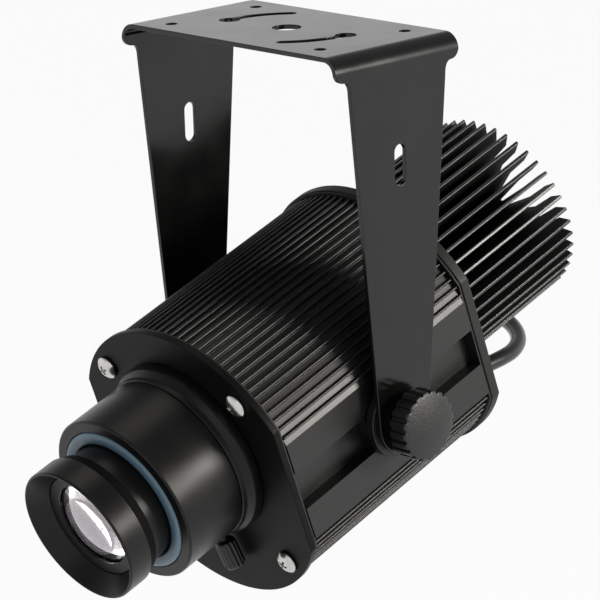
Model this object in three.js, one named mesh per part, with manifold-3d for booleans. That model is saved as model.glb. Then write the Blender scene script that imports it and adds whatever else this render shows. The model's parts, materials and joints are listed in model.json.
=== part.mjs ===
// A hanging gobo projector: a ribbed round housing that tilts in a sheet-steel yoke.
// Millimetres. The origin is the middle of the yoke plate's top face. X runs along the pivot,
// +Y from the lens to the heat sink, +Z up.
import * as THREE from 'three';
import { mergeVertices } from 'three/addons/utils/BufferGeometryUtils.js';
import Module from 'manifold-3d';

const wasm = await Module();
wasm.setup();

// Shared values
const clearance = 0.3; // between seated neighbours
const overrun = 2; // how far a cut runs past the face that it leaves
const mergeTolerance = 1e-4;
const roundSteps = 26; // round pieces that show
const innerSteps = 18; // round pieces inside
const smallSteps = 12; // screws, wires and other small round pieces
const arcSteps = 5; // half the steps of an arc in the yoke
const QUARTER = Math.PI / 2;

// Driving dimensions of the yoke
const yokeDepth = 72;
const sheet = 2;
const bendRadius = 7; // outside of the bend
const earDrop = 10.5; // how far down the full depth goes round the bend
const earRadius = 4.5;
const armShoulder = 27.8; // half the arm's depth just under the ears
const shoulderDrop = 16.5;
const armFoot = 14.7; // half the arm's depth at the pivot, and its end radius
const pivotDrop = 159.3; // plate top to pivot
const tilt = 0.334; // radians, lens down, as it hangs in the picture

// Holes in the yoke
const centreHoleRadius = 6.2;
const fixingHole = { radius: 2.5, x: 45, y: 24.7 };
const arcSlot = { radius: 32, halfWidth: 2.6, keyRadius: 4.5, keyAngle: 0.1, tailAngle: -0.82 };
const armSlot = { halfWidth: 3.15, length: 17.5, drop: 49.5 };

// Driving dimensions of the housing and its plates
const housingRadius = 63.5; // at the ribs' tips
const flatDepth = 5.5; // of the flats, in from the ribs' tips
const housingFlat = housingRadius - flatDepth;
const housingFront = -58.2;
const housingRear = 55;
const housingRise = 1.8; // housing centre above the pivot
const ribPitch = 0.0646; // radians
const ribShare = 0.32; // of the pitch
const ribDepth = 1.7;
const housingWall = 6; // under the ribs' tips
const housingInner = housingRadius - housingWall;
const flatWall = 9.7; // from the flats to the bore's flats
const innerFlat = housingFlat - flatWall;
const channelHalf = 8.85; // half the height of the side channel
const channelDepth = 6;
const channelFloor = housingFlat - channelDepth;
const plateReach = 1.5; // past the ribs' tips
const plateRadius = housingRadius + plateReach;
const plateFlat = housingFlat;
const frontPlateThickness = 3;
const rearPlateThickness = 4.8;
const gasketThickness = 0.8;
const gasketInset = 0.5;
const plateScrewInset = 7; // of the screws' circle, in from the ribs' tips
const plateScrewRadius = housingRadius - plateScrewInset;
const bossRadius = 5.2;

// Pan-head screws
const screw = { shank: 2.4, head: 5.2, headHeight: 3.2, length: 15, slot: 1.1, slotReach: 2.9,
  slotDepth: 1.5 };
const screwFlankShare = 0.4; // of the head's height, before its dome begins

// Pivot hardware, the same on both sides
const stud = { radius: 3.9, head: 6.5, headHeight: 3.4, endGap: 0.9 };
const spacer = { radius: 17, inset: 0.5, thickness: 4.2 };
const armInner = housingFlat + spacer.inset + spacer.thickness + clearance;
const armOuter = armInner + sheet; // half the yoke's width
const slideBlockLength = 30;
const knob = { radius: 15, grooves: 20, grooveDepth: 0.9, grooveShare: 0.42, hub: 9, standOff: 5,
  length: 10.5, dome: 1.6, rim: 0.8, bore: 10 };

// Optics, about an axis above the housing's centre. The radii grow outwards from the focus tube.
const opticsRise = 8.9;
const focusTube = { radius: 27.3, stepRise: 2, stepLength: 3.6, reach: 14.2, inside: 21.9, wall: 5.4,
  neckInset: 0.9, neckLength: 3 };
const sealRing = { width: 5.4, protrusion: 1.1, depth: 4.2 };
const barrel = { wall: 5.2, length: 30.9, throatGap: 0.4, throatDepth: 6, shoulder: 2.6, tail: 7,
  tailWall: 4.9, lip: 0.7 };
const collar = { noseRise: 0.3, flare: 2.4, length: 9.8, shoulder: 2.6, spigotInset: 2.6, nutWidth: 4,
  nutWall: 4.9 };
const hood = { reach: 3.6, length: 12.5, lip: 1, throatInset: 2.3, throatDepth: 8.1, rim: 0.8 };
const frontLens = { edge: 4.5, frontCrown: 4.6, rearCrown: 1.6 };
const retainerLip = 2.8;
const rearLens = { edge: 3.2, crown: 3.4, fromTail: 8.5, ringLength: 4.5 };
const gobo = { radius: 24.9, thickness: 1.1, fromShoulder: 2.6, window: 18 };
const goboHolder = { gap: 0.4, thickness: 5, seat: 1.8 };
const focusStep = focusTube.radius + focusTube.stepRise;
const focusNeck = focusTube.radius - focusTube.neckInset;
const neckBore = focusTube.radius - focusTube.wall;
const lensRadius = neckBore - clearance;
const retainerBore = neckBore - retainerLip;
const hoodRadius = focusTube.radius + hood.reach;
const hoodThroat = focusNeck - hood.throatInset;
const barrelBore = focusTube.radius + clearance + sealRing.width + clearance;
const barrelRadius = barrelBore + barrel.wall;
const tailRadius = barrelRadius - barrel.shoulder;
const tailBore = tailRadius - barrel.tailWall;
const barrelThroat = focusTube.radius + barrel.throatGap;
const collarBore = tailRadius + clearance;
const collarNose = barrelRadius + collar.noseRise;
const collarRadius = collarNose + collar.flare;
const spigotRadius = collarBore - collar.spigotInset;
const nutRadius = spigotRadius + collar.nutWall;
const goboHolderRadius = tailBore - goboHolder.gap;

// Focus lock thumbscrew, radial through the collar
const lockScrew = { fromPlate: 5.4, angle: -1.378, shank: 1.9, head: 4.7, headGap: 2.7, headLength: 13.2,
  grooves: 14, grooveDepth: 0.5, tipGap: 0.4 };

// Light engine
const heatSink = { fins: 44, radius: 44.7, core: 17, finThickness: 1.7, length: 79.9, base: 39.8,
  baseThickness: 4.5, pedestal: 21, recess: 38.2, recessFloor: 35.7, recessDepth: 8.5 };
const sinkScrewCircle = 31;
const lampTube = { radius: 25.2, wall: 1.6, lip: 3, front: -56.5, flange: 37, flangeThickness: 2.2 };
const ledBoard = { side: 30, thickness: 1.6 };
const ledDome = { radius: 8, height: 3.4, base: 10.5, baseThickness: 1 };
const condenser = { edge: 4, crown: 9.5, gapFromBoard: 15, spacing: 7, ringLength: 4 };
const ringWall = 2;

// Driver in the foot of the housing
const driver = { sideInset: 24.5, length: 76, lampGap: 9.4, rim: 1.2, place: -6 };
const wire = { radius: 1.6, drop: 4, lead: 5, run: 8, entry: 8 };

// Cord and its gland
const cordRadius = 3.7;
const gland = { x: 14, z: -48, flange: 9.4, flangeLength: 5, thread: 6.6, dome: 8.9, domeTip: 5.2,
  domeLength: 20.2 };
const coil = { x: -71.5, y: 70, z: -208, outer: 43.5, pitch: 8, layer: 8, tail: 25 };
const coilLayers = 4;
const coilTurns = 5.5;
const tieAngle = 1.85; // of the strap round the coil, in radians from +Y
const coilSteps = 22;
const coilSides = 6;
const climbTurns = 0.5; // over which the coil climbs a layer
const leadSteps = 20;
const leadSides = 8;
const wireSteps = 12;
const wireSides = 6;
const plug = { length: 31, waist: 7.5, foot: 9, half: 13, thickness: 21, relief: 14, reliefTip: 5, neck: 7,
  pinLength: 17, bladeWidth: 6.3, blade: 1.5, pinSpread: 12.7, earthRadius: 2.4, earthDrop: 11.9,
    earthLength: 20,
  lift: 4 };
const tie = { width: 14, thickness: 1.5, gap: 0.5 };

// Materials
function finish(color, roughness, metalness) {
  return new THREE.MeshStandardMaterial({ color, roughness, metalness });
}
const blackSteel = finish(0x232323, 0.38, 0.3);
const blackAlloy = finish(0x26262a, 0.42, 0.6);
const plateAlloy = finish(0x2b2a29, 0.5, 0.4);
const rubber = finish(0x151515, 0.8, 0);
const stainless = finish(0xc9c8c6, 0.3, 1);
const blackPlastic = finish(0x2c2b2a, 0.6, 0);
const glass = finish(0xb9aeb8, 0.05, 0);
const blueSilicone = finish(0x5f8ba5, 0.35, 0);
const brightAlloy = finish(0xb5b6b8, 0.4, 0.9);
const boardWhite = finish(0xe6e4de, 0.5, 0);
const phosphor = finish(0xe8c84a, 0.4, 0);
const printGlass = finish(0x9fa8ad, 0.1, 0);
const cableBlack = finish(0x1c1c1d, 0.6, 0);
const brass = finish(0xb79b52, 0.35, 0.9);

// Solids from closed geometry, and back
function solid(geometry) {
  const plain = geometry.clone();
  plain.deleteAttribute('normal');
  plain.deleteAttribute('uv');
  const merged = mergeVertices(plain, mergeTolerance);
  const at = merged.getAttribute('position');
  const index = merged.getIndex().array;
  const triangles = [];
  let volume = 0;
  const [a, b, c] = [new THREE.Vector3(), new THREE.Vector3(), new THREE.Vector3()];
  for (let i = 0; i < index.length; i += 3) {
    const [p, q, r] = [index[i], index[i + 1], index[i + 2]];
    if (p === q || q === r || r === p) continue;
    triangles.push([p, q, r]);
    a.fromBufferAttribute(at, p);
    b.fromBufferAttribute(at, q);
    c.fromBufferAttribute(at, r);
    volume += a.dot(b.cross(c));
  }
  const order = volume < 0 ? [0, 2, 1] : [0, 1, 2];
  const triVerts = new Uint32Array(triangles.flatMap((t) => order.map((k) => t[k])));
  const vertProperties = new Float32Array(at.array);
  return new wasm.Manifold(new wasm.Mesh({ numProp: 3, vertProperties, triVerts }));
}

function geometryOf(body) {
  const mesh = body.getMesh();
  const geometry = new THREE.BufferGeometry();
  geometry.setAttribute('position', new THREE.BufferAttribute(new Float32Array(mesh.vertProperties), 3));
  geometry.setIndex(new THREE.BufferAttribute(new Uint32Array(mesh.triVerts), 1));
  geometry.computeVertexNormals();
  return geometry;
}

const joined = (first, ...others) => others.reduce((sum, next) => sum.add(next), first);
const cut = (first, ...others) => others.reduce((rest, next) => rest.subtract(next), first);

// A straight prism of a shape. Along Y the shape lies in X and Z, along X in Y and Z, along Z in X and Y.
function prism(shape, axis, from, to, curveSegments = arcSteps) {
  const geometry = new THREE.ExtrudeGeometry(shape, { depth: to - from, bevelEnabled: false, curveSegments });
  if (axis === 'y') geometry.rotateX(QUARTER).translate(0, to, 0);
  else if (axis === 'x') {
    const turn = new THREE.Matrix4().makeBasis(
      new THREE.Vector3(0, 1, 0), new THREE.Vector3(0, 0, 1), new THREE.Vector3(1, 0, 0));
    geometry.applyMatrix4(turn).translate(from, 0, 0);
  } else geometry.translate(0, 0, from);
  return solid(geometry);
}

// A turned piece about Y. Points are [radius, y], and an open profile starts and ends on the axis.
function turned(points, steps = roundSteps) {
  const closed = points[0][0] === 0 ? points : [...points, points[0]];
  return solid(new THREE.LatheGeometry(closed.map(([r, y]) => new THREE.Vector2(r, y)), steps));
}

function circle(radius, x = 0, y = 0) {
  return new THREE.Shape().absarc(x, y, radius, 0, 4 * QUARTER, false);
}

// A rod along Y, used for pins and for the holes that they pass through
function rod(radius, from, to, x = 0, z = 0, steps = smallSteps) {
  const geometry = new THREE.CylinderGeometry(radius, radius, to - from, steps);
  geometry.translate(x, (from + to) / 2, z);
  return solid(geometry);
}

function block(x0, x1, y0, y1, z0, z1) {
  const geometry = new THREE.BoxGeometry(x1 - x0, y1 - y0, z1 - z0);
  geometry.translate((x0 + x1) / 2, (y0 + y1) / 2, (z0 + z1) / 2);
  return solid(geometry);
}

// Points of a spherical crown from the rim at [radius, y] to the axis
function crown(radius, y, height, steps = 3) {
  const sphere = (radius * radius + height * height) / (2 * Math.abs(height));
  const points = [];
  for (let i = 0; i <= steps; i++) {
    const r = radius * (1 - i / steps);
    const rise = Math.sqrt(sphere * sphere - r * r) - (sphere - Math.abs(height));
    points.push([i === steps ? 0 : r, y + Math.sign(height) * rise]);
  }
  return points;
}

// Groups: the yoke hangs still, the projector turns in it
const part = new THREE.Group();
const projector = new THREE.Group();
projector.position.set(0, 0, -pivotDrop);
projector.rotation.x = tilt;
part.add(projector);
const housingFrame = new THREE.Group();
housingFrame.position.z = housingRise;
projector.add(housingFrame);
const opticsFrame = new THREE.Group();
opticsFrame.position.z = opticsRise;
housingFrame.add(opticsFrame);

function place(name, body, material, parent = part) {
  const mesh = new THREE.Mesh(geometryOf(body), material);
  mesh.name = name;
  parent.add(mesh);
  return mesh;
}

// Yoke
function yokeSection(depth) {
  const half = armOuter;
  const inside = bendRadius - sheet;
  const shape = new THREE.Shape();
  shape.moveTo(-half, -depth);
  shape.lineTo(-half, -bendRadius);
  shape.absarc(-half + bendRadius, -bendRadius, bendRadius, 2 * QUARTER, QUARTER, true);
  shape.lineTo(half - bendRadius, 0);
  shape.absarc(half - bendRadius, -bendRadius, bendRadius, QUARTER, 0, true);
  shape.lineTo(half, -depth);
  shape.lineTo(half - sheet, -depth);
  shape.lineTo(half - sheet, -bendRadius);
  shape.absarc(half - bendRadius, -bendRadius, inside, 0, QUARTER, false);
  shape.lineTo(-half + bendRadius, -sheet);
  shape.absarc(-half + bendRadius, -bendRadius, inside, QUARTER, 2 * QUARTER, false);
  shape.lineTo(-half + sheet, -depth);
  shape.closePath();
  return shape;
}

function armOutline() {
  const half = yokeDepth / 2;
  const shape = new THREE.Shape();
  shape.moveTo(-half, overrun);
  shape.lineTo(-half, -earDrop + earRadius);
  shape.absarc(-half + earRadius, -earDrop + earRadius, earRadius, 2 * QUARTER, 3 * QUARTER, false);
  shape.quadraticCurveTo(-armShoulder, -earDrop, -armShoulder, -shoulderDrop);
  shape.lineTo(-armFoot, -pivotDrop);
  shape.absarc(0, -pivotDrop, armFoot, 2 * QUARTER, 4 * QUARTER, false);
  shape.lineTo(armShoulder, -shoulderDrop);
  shape.quadraticCurveTo(armShoulder, -earDrop, half - earRadius, -earDrop);
  shape.absarc(half - earRadius, -earDrop + earRadius, earRadius, 3 * QUARTER, 4 * QUARTER, false);
  shape.lineTo(half, overrun);
  shape.closePath();
  return shape;
}

// An arc slot with a keyhole end, turned about the plate's middle
function plateSlot(turn) {
  const { radius, halfWidth, keyRadius, keyAngle, tailAngle } = arcSlot;
  const shape = new THREE.Shape();
  shape.absarc(0, 0, radius + halfWidth, turn + tailAngle, turn + keyAngle, false);
  shape.absarc(0, 0, radius - halfWidth, turn + keyAngle, turn + tailAngle, true);
  shape.closePath();
  const at = (angle) => [radius * Math.cos(turn + angle), radius * Math.sin(turn + angle)];
  return [shape, circle(halfWidth, ...at(tailAngle)), circle(keyRadius, ...at(keyAngle))];
}

function yoke() {
  const reach = pivotDrop + armFoot + overrun;
  const sides = armOuter + overrun;
  const plateCuts = [circle(centreHoleRadius), ...plateSlot(0), ...plateSlot(2 * QUARTER)];
  for (const x of [-fixingHole.x, fixingHole.x]) {
    for (const y of [-fixingHole.y, fixingHole.y]) plateCuts.push(circle(fixingHole.radius, x, y));
  }
  const slot = new THREE.Shape();
  const end = armSlot.length / 2 - armSlot.halfWidth;
  slot.absarc(0, -armSlot.drop + end, armSlot.halfWidth, 0, 2 * QUARTER, false);
  slot.absarc(0, -armSlot.drop - end, armSlot.halfWidth, 2 * QUARTER, 4 * QUARTER, false);
  slot.closePath();
  const pivot = circle(stud.radius + clearance, 0, -pivotDrop);
  const bent = prism(yokeSection(reach), 'y', -yokeDepth, yokeDepth, arcSteps)
    .intersect(prism(armOutline(), 'x', -sides, sides, arcSteps));
  return cut(bent,
    ...plateCuts.map((shape) => prism(shape, 'z', -sheet - overrun, overrun, arcSteps)),
    prism(slot, 'x', -sides, sides, arcSteps), prism(pivot, 'x', -sides, sides, arcSteps));
}
place('yoke_bracket', yoke(), blackSteel);

// Outline of the plates: a circle with a flat on each side
function flatCircle(radius, flat, steps = roundSteps) {
  const corner = edgeAngle(flat, radius);
  const shape = new THREE.Shape();
  const sweep = 2 * (QUARTER - corner);
  for (const start of [corner, corner + 2 * QUARTER]) {
    for (let i = 0; i <= steps / 2; i++) {
      const angle = start + sweep * i / (steps / 2);
      const point = [radius * Math.cos(angle), radius * Math.sin(angle)];
      if (start === corner && i === 0) shape.moveTo(...point);
      else shape.lineTo(...point);
    }
  }
  shape.closePath();
  return shape;
}

// The angle above +X at which a flat meets a circle
function edgeAngle(flat, radius) {
  return Math.acos(flat / radius);
}

// The right half of the housing's outside, from the foot to the top
function housingSide() {
  const points = [];
  const root = housingRadius - ribDepth;
  const half = ribPitch * ribShare / 2;
  const polar = (radius, angle) => [radius * Math.cos(angle), radius * Math.sin(angle)];
  const rib = (angle) => points.push(polar(root, angle - half), polar(housingRadius, angle - half),
    polar(housingRadius, angle + half), polar(root, angle + half));
  points.push(polar(housingRadius, -QUARTER), polar(housingRadius, -QUARTER + half),
    polar(root, -QUARTER + half));
  const flatEdge = edgeAngle(housingFlat, housingRadius);
  const stripEdge = edgeAngle(housingFlat, root);
  const ribsBelow = Math.floor((QUARTER - flatEdge - 2 * half) / ribPitch);
  const ribsAbove = Math.floor((QUARTER - stripEdge - half) / ribPitch);
  for (let i = 1; i <= ribsBelow; i++) rib(-QUARTER + i * ribPitch);
  const channelTop = channelHalf - housingRise;
  const channelFoot = -channelHalf - housingRise;
  points.push(polar(root, -flatEdge - half), polar(housingRadius, -flatEdge));
  points.push([housingFlat, channelFoot], [channelFloor, channelFoot], [channelFloor, channelTop]);
  points.push([housingFlat, channelTop], polar(root, stripEdge));
  for (let i = ribsAbove; i > 0; i--) rib(QUARTER - i * ribPitch);
  points.push(polar(root, QUARTER - half), polar(housingRadius, QUARTER - half),
    polar(housingRadius, QUARTER));
  return points;
}

function outlineOf(points) {
  return new THREE.Shape(points.map(([x, y]) => new THREE.Vector2(x, y)));
}

const plateScrewAt = plateScrewRadius * Math.cos(QUARTER / 2);
const plateScrewPlaces = [[-plateScrewAt, plateScrewAt], [plateScrewAt, plateScrewAt],
  [-plateScrewAt, -plateScrewAt], [plateScrewAt, -plateScrewAt]];
const screwHole = screw.shank + clearance;

function screwHoles(from, to) {
  return plateScrewPlaces.map(([x, z]) => rod(screwHole, from - overrun, to + overrun, x, z));
}

function housing() {
  const side = housingSide();
  const mirrored = side.slice(1, -1).reverse().map(([x, z]) => [-x, z]);
  const shell = cut(prism(outlineOf([...side, ...mirrored]), 'y', housingFront, housingRear),
    prism(flatCircle(housingInner, innerFlat), 'y', housingFront - overrun, housingRear + overrun));
  const bosses = plateScrewPlaces.map(([x, z]) => rod(bossRadius, housingFront, housingRear, x, z));
  const pivotHole = solid(new THREE.CylinderGeometry(stud.radius + clearance, stud.radius + clearance,
    2 * plateRadius, smallSteps).rotateZ(QUARTER).translate(0, 0, -housingRise));
  return cut(joined(shell, ...bosses), pivotHole, ...screwHoles(housingFront, housingRear));
}
place('housing', housing(), blackAlloy, housingFrame);

// End plates and their gaskets
const frontGasketFront = housingFront - clearance - gasketThickness;
const frontPlateRear = frontGasketFront - clearance;
const frontPlateFront = frontPlateRear - frontPlateThickness;
const rearGasketRear = housingRear + clearance + gasketThickness;
const rearPlateFront = rearGasketRear + clearance;
const rearPlateRear = rearPlateFront + rearPlateThickness;

function gasket(from, to) {
  return cut(prism(flatCircle(plateRadius - gasketInset, plateFlat - gasketInset), 'y', from, to),
    prism(flatCircle(housingInner - bossRadius, innerFlat, innerSteps), 'y', from - overrun, to + overrun),
    ...screwHoles(from, to));
}

function frontPlate() {
  return cut(prism(flatCircle(plateRadius, plateFlat), 'y', frontPlateFront, frontPlateRear),
    rod(spigotRadius + clearance, frontPlateFront - overrun, frontPlateRear + overrun, 0, opticsRise,
      roundSteps),
    ...screwHoles(frontPlateFront, frontPlateRear));
}

const sinkScrewAngles = [QUARTER, QUARTER + 4 * QUARTER / 3, QUARTER - 4 * QUARTER / 3];
const sinkScrewPlaces = sinkScrewAngles.map((angle) => [sinkScrewCircle * Math.cos(angle),
  sinkScrewCircle * Math.sin(angle)]);

function rearPlate() {
  const [from, to] = [rearPlateFront - overrun, rearPlateRear + overrun];
  return cut(prism(flatCircle(plateRadius, plateFlat), 'y', rearPlateFront, rearPlateRear),
    rod(heatSink.pedestal + clearance, from, to, 0, opticsRise, innerSteps),
    rod(gland.thread + clearance, from, to, gland.x, gland.z),
    ...sinkScrewPlaces.map(([x, z]) => rod(screwHole, from, to, x, z + opticsRise)),
    ...screwHoles(rearPlateFront, rearPlateRear));
}
place('front_plate', frontPlate(), plateAlloy, housingFrame);
place('front_gasket', gasket(frontGasketFront, housingFront - clearance), rubber, housingFrame);
place('rear_plate', rearPlate(), plateAlloy, housingFrame);
const glandHole = rod(gland.thread + clearance, housingRear - overrun, rearPlateRear + overrun, gland.x,
  gland.z);
place('rear_gasket', cut(gasket(housingRear + clearance, rearGasketRear), glandHole), rubber, housingFrame);

// A pan-head screw with its seat at zero and its head towards +Y
function panScrew(length = screw.length) {
  const flank = screw.headHeight * screwFlankShare;
  const dome = crown(screw.head, flank, screw.headHeight - flank, 2);
  const blank = turned([[0, -length], [screw.shank, -length], [screw.shank, 0], [screw.head, 0], ...dome],
    smallSteps);
  const low = screw.headHeight - screw.slotDepth;
  const high = screw.headHeight + overrun;
  const [half, reach] = [screw.slot / 2, screw.slotReach];
  return cut(blank, joined(block(-half, half, low, high, -reach, reach),
    block(-reach, reach, low, high, -half, half)));
}
plateScrewPlaces.forEach(([x, z], i) => {
  const front = place(`front_screw_${i + 1}`, panScrew(), stainless, housingFrame);
  front.position.set(x, frontPlateFront - clearance, z);
  front.rotation.x = 2 * QUARTER;
  const rear = place(`rear_screw_${i + 1}`, panScrew(), stainless, housingFrame);
  rear.position.set(x, rearPlateRear + clearance, z);
});

// Pivot hardware, built along +Y from the housing's middle and turned to each side
function slideBlock() {
  const half = slideBlockLength / 2;
  const height = channelHalf - clearance;
  return cut(block(-half, half, channelFloor + clearance, housingFlat - clearance, -height, height),
    rod(stud.radius + clearance, channelFloor - overrun, housingFlat + overrun));
}

function spacerDisc() {
  const low = housingFlat + spacer.inset;
  const high = low + spacer.thickness;
  const bore = stud.radius + clearance;
  return turned([[bore, low], [spacer.radius, low], [spacer.radius, high], [bore, high]], innerSteps);
}

function pivotStud() {
  const seat = innerFlat - clearance;
  const head = prism(outlineOf(hexagon(stud.head)), 'y', seat - stud.headHeight, seat);
  return joined(head, rod(stud.radius, seat - clearance, armOuter + clearance + knob.bore - stud.endGap));
}

function hexagon(radius) {
  const sides = 6;
  return Array.from({ length: sides }, (_, i) => {
    const angle = 4 * QUARTER * i / sides;
    return [radius * Math.cos(angle), radius * Math.sin(angle)];
  });
}

// A round knob outline with square grooves
function grooved(radius, count, depth, share) {
  const pitch = 4 * QUARTER / count;
  const points = [];
  for (let i = 0; i < count; i++) {
    const start = i * pitch;
    const gap = start + pitch * (1 - share);
    for (const [r, a] of [[radius, start], [radius, gap], [radius - depth, gap],
      [radius - depth, start + pitch]]) {
      points.push([r * Math.cos(a), r * Math.sin(a)]);
    }
  }
  return outlineOf(points);
}

function grip() {
  const foot = armOuter + clearance;
  const skirt = armOuter + knob.standOff;
  const face = skirt + knob.length;
  const ring = prism(grooved(knob.radius, knob.grooves, knob.grooveDepth, knob.grooveShare), 'y', skirt,
    face - knob.dome);
  const cap = turned([[0, skirt + knob.dome], [knob.radius - knob.grooveDepth, skirt + knob.dome],
    [knob.radius - knob.grooveDepth, face - knob.dome - knob.rim],
    ...crown(knob.radius - knob.rim, face - knob.dome, knob.dome)]);
  const hub = rod(knob.hub, foot, skirt + knob.rim, 0, 0, innerSteps);
  return cut(joined(ring, cap, hub), rod(stud.radius + clearance, foot - overrun, foot + knob.bore));
}

for (const [side, turn] of [['right', -QUARTER], ['left', QUARTER]]) {
  const frame = new THREE.Group();
  frame.rotation.z = turn;
  projector.add(frame);
  place(`slide_block_${side}`, slideBlock(), blackAlloy, frame);
  place(`pivot_spacer_${side}`, spacerDisc(), blackPlastic, frame);
  place(`pivot_stud_${side}`, pivotStud(), stainless, frame);
  place(`knob_${side}`, grip(), blackPlastic, frame);
}

// Lens collar, fixed to the front plate by a ring nut behind it
const collarRear = frontPlateFront - clearance;
const collarFront = collarRear - collar.length;
const nutFront = frontPlateRear + clearance;
const nutRear = nutFront + collar.nutWidth;
const spigotBore = spigotRadius - ringWall;
const lockPlace = collarRear - lockScrew.fromPlate;
const lockDirection = new THREE.Vector3(Math.cos(lockScrew.angle), 0, Math.sin(lockScrew.angle));

// A rod from the optical axis outwards, for the lock screw and its hole
function radialRod(radius, from, to) {
  const geometry = new THREE.CylinderGeometry(radius, radius, to - from, smallSteps);
  geometry.translate(0, (from + to) / 2, 0).rotateZ(-QUARTER).rotateY(-lockScrew.angle);
  return solid(geometry.translate(0, lockPlace, 0));
}

function lensCollar() {
  const body = turned([[collarBore, collarRear - collar.shoulder], [collarBore, collarFront],
    [collarNose, collarFront], [collarNose + clearance, collarFront + collar.shoulder],
    [collarRadius - clearance, collarFront + 2 * collar.shoulder],
    [collarRadius, collarRear - collar.shoulder], [collarRadius, collarRear], [spigotRadius, collarRear],
    [spigotRadius, nutRear], [spigotBore, nutRear], [spigotBore, collarRear - collar.shoulder]], roundSteps);
  return cut(body, radialRod(lockScrew.shank + clearance, spigotBore, collarRadius + overrun));
}
place('lens_collar', lensCollar(), blackAlloy, opticsFrame);

const nutBore = spigotRadius + clearance;
place('collar_nut', turned([[nutBore, nutFront], [nutRadius, nutFront], [nutRadius, nutRear],
  [nutBore, nutRear]]), brightAlloy, opticsFrame);

// Lens barrel, which turns in the collar to level the picture
const barrelRear = collarFront - clearance;
const tailRear = barrelRear + barrel.tail;
const barrelFace = barrelRear - barrel.length;
const throatFront = barrelFace + sealRing.depth + clearance;

place('lens_barrel', turned([[barrelBore, barrelFace], [barrelRadius - barrel.lip, barrelFace],
  [barrelRadius, barrelFace + barrel.lip], [barrelRadius, barrelRear], [tailRadius, barrelRear],
  [tailRadius, tailRear], [tailBore, tailRear], [tailBore, throatFront + barrel.throatDepth],
  [barrelThroat, throatFront + barrel.throatDepth], [barrelThroat, throatFront], [barrelBore, throatFront]]),
blackAlloy, opticsFrame);

const ringOuter = barrelBore - clearance;
const ringInner = focusTube.radius + clearance;
const ringFront = barrelFace - sealRing.protrusion;
const ringMiddle = (ringOuter + ringInner) / 2;
place('seal_ring', turned([[ringInner, ringFront + sealRing.protrusion], [ringMiddle - clearance, ringFront],
  [ringMiddle + clearance, ringFront], [ringOuter, ringFront + sealRing.protrusion],
  [ringOuter, barrelFace + sealRing.depth], [ringInner, barrelFace + sealRing.depth]]), blueSilicone,
opticsFrame);

// Gobo in its holder, in the tail of the barrel
const goboPlace = barrelRear + gobo.fromShoulder;
const holderRear = goboPlace + goboHolder.thickness / 2;
const holderFront = goboPlace - goboHolder.thickness / 2;
const goboSeat = holderFront + goboHolder.seat;
const pocket = gobo.radius + clearance;
place('gobo_holder', turned([[gobo.window, holderFront], [goboHolderRadius, holderFront],
  [goboHolderRadius, holderRear], [pocket, holderRear], [pocket, goboSeat], [gobo.window, goboSeat]],
innerSteps), brightAlloy, opticsFrame);
const goboFront = goboSeat + clearance;
place('gobo_disc', rod(gobo.radius, goboFront, goboFront + gobo.thickness, 0, 0, innerSteps), printGlass,
  opticsFrame);
const goboRingFront = goboFront + gobo.thickness + clearance;
place('gobo_retainer', turned([[gobo.window, goboRingFront], [gobo.radius, goboRingFront],
  [gobo.radius, holderRear], [gobo.window, holderRear]], innerSteps), blackPlastic, opticsFrame);

// Focus tube, lenses and hood
const stepFront = barrelFace - focusTube.reach;
const stepRear = stepFront + focusTube.stepLength;
const focusTail = barrelFace + focusTube.inside;
const hoodRear = stepFront - clearance;
const hoodFront = hoodRear - hood.length;
const hoodThroatRear = hoodFront + hood.throatDepth;
const neckFront = stepFront - focusTube.neckLength;
const lensRear = neckFront + frontLens.edge;
const lensOpening = retainerBore - clearance;
const rearLensFront = focusTail - rearLens.fromTail;
const rearLensRear = rearLensFront + rearLens.edge;

place('focus_tube', turned([[neckBore, neckFront], [focusNeck, neckFront],
  [focusNeck, stepFront], [focusStep, stepFront], [focusStep, stepRear],
  [focusTube.radius, stepRear], [focusTube.radius, focusTail], [neckBore, focusTail],
  [neckBore, rearLensFront - clearance], [retainerBore, rearLensFront - clearance],
  [retainerBore, lensRear + clearance], [neckBore, lensRear + clearance]]), blackAlloy, opticsFrame);

const hoodBore = focusNeck + clearance;
place('lens_hood', turned([[hoodRadius - hood.lip, hoodFront], [hoodThroat, hoodThroatRear],
  [hoodThroat, neckFront - clearance], [hoodBore, neckFront - clearance], [hoodBore, hoodRear],
  [hoodRadius - hood.rim, hoodRear], [hoodRadius, hoodRear - hood.rim], [hoodRadius, hoodFront + hood.rim],
  [hoodRadius - hood.rim / 2, hoodFront]]), blackAlloy, opticsFrame);

const retainerRadius = hoodThroat - clearance;
place('lens_retainer', turned([[retainerBore, hoodThroatRear], [retainerRadius, hoodThroatRear],
  [retainerRadius, neckFront - clearance], [retainerBore, neckFront - clearance]]), blackAlloy, opticsFrame);

place('front_lens', turned([...crown(lensOpening, neckFront, -frontLens.frontCrown, 4).reverse(),
  [lensRadius, neckFront], [lensRadius, lensRear],
  ...crown(lensOpening, lensRear, frontLens.rearCrown, 2)]), glass, opticsFrame);

place('rear_lens', turned([...crown(lensOpening, rearLensFront, -rearLens.crown).reverse(),
  [lensRadius, rearLensFront], [lensRadius, rearLensRear],
  ...crown(lensOpening, rearLensRear, rearLens.crown)], innerSteps), glass, opticsFrame);
const rearRingFront = rearLensRear + clearance;
const rearRingRear = rearRingFront + rearLens.ringLength;
place('rear_lens_ring', turned([[retainerBore, rearRingFront], [lensRadius, rearRingFront],
  [lensRadius, rearRingRear], [retainerBore, rearRingRear]], innerSteps), blackAlloy, opticsFrame);

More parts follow.
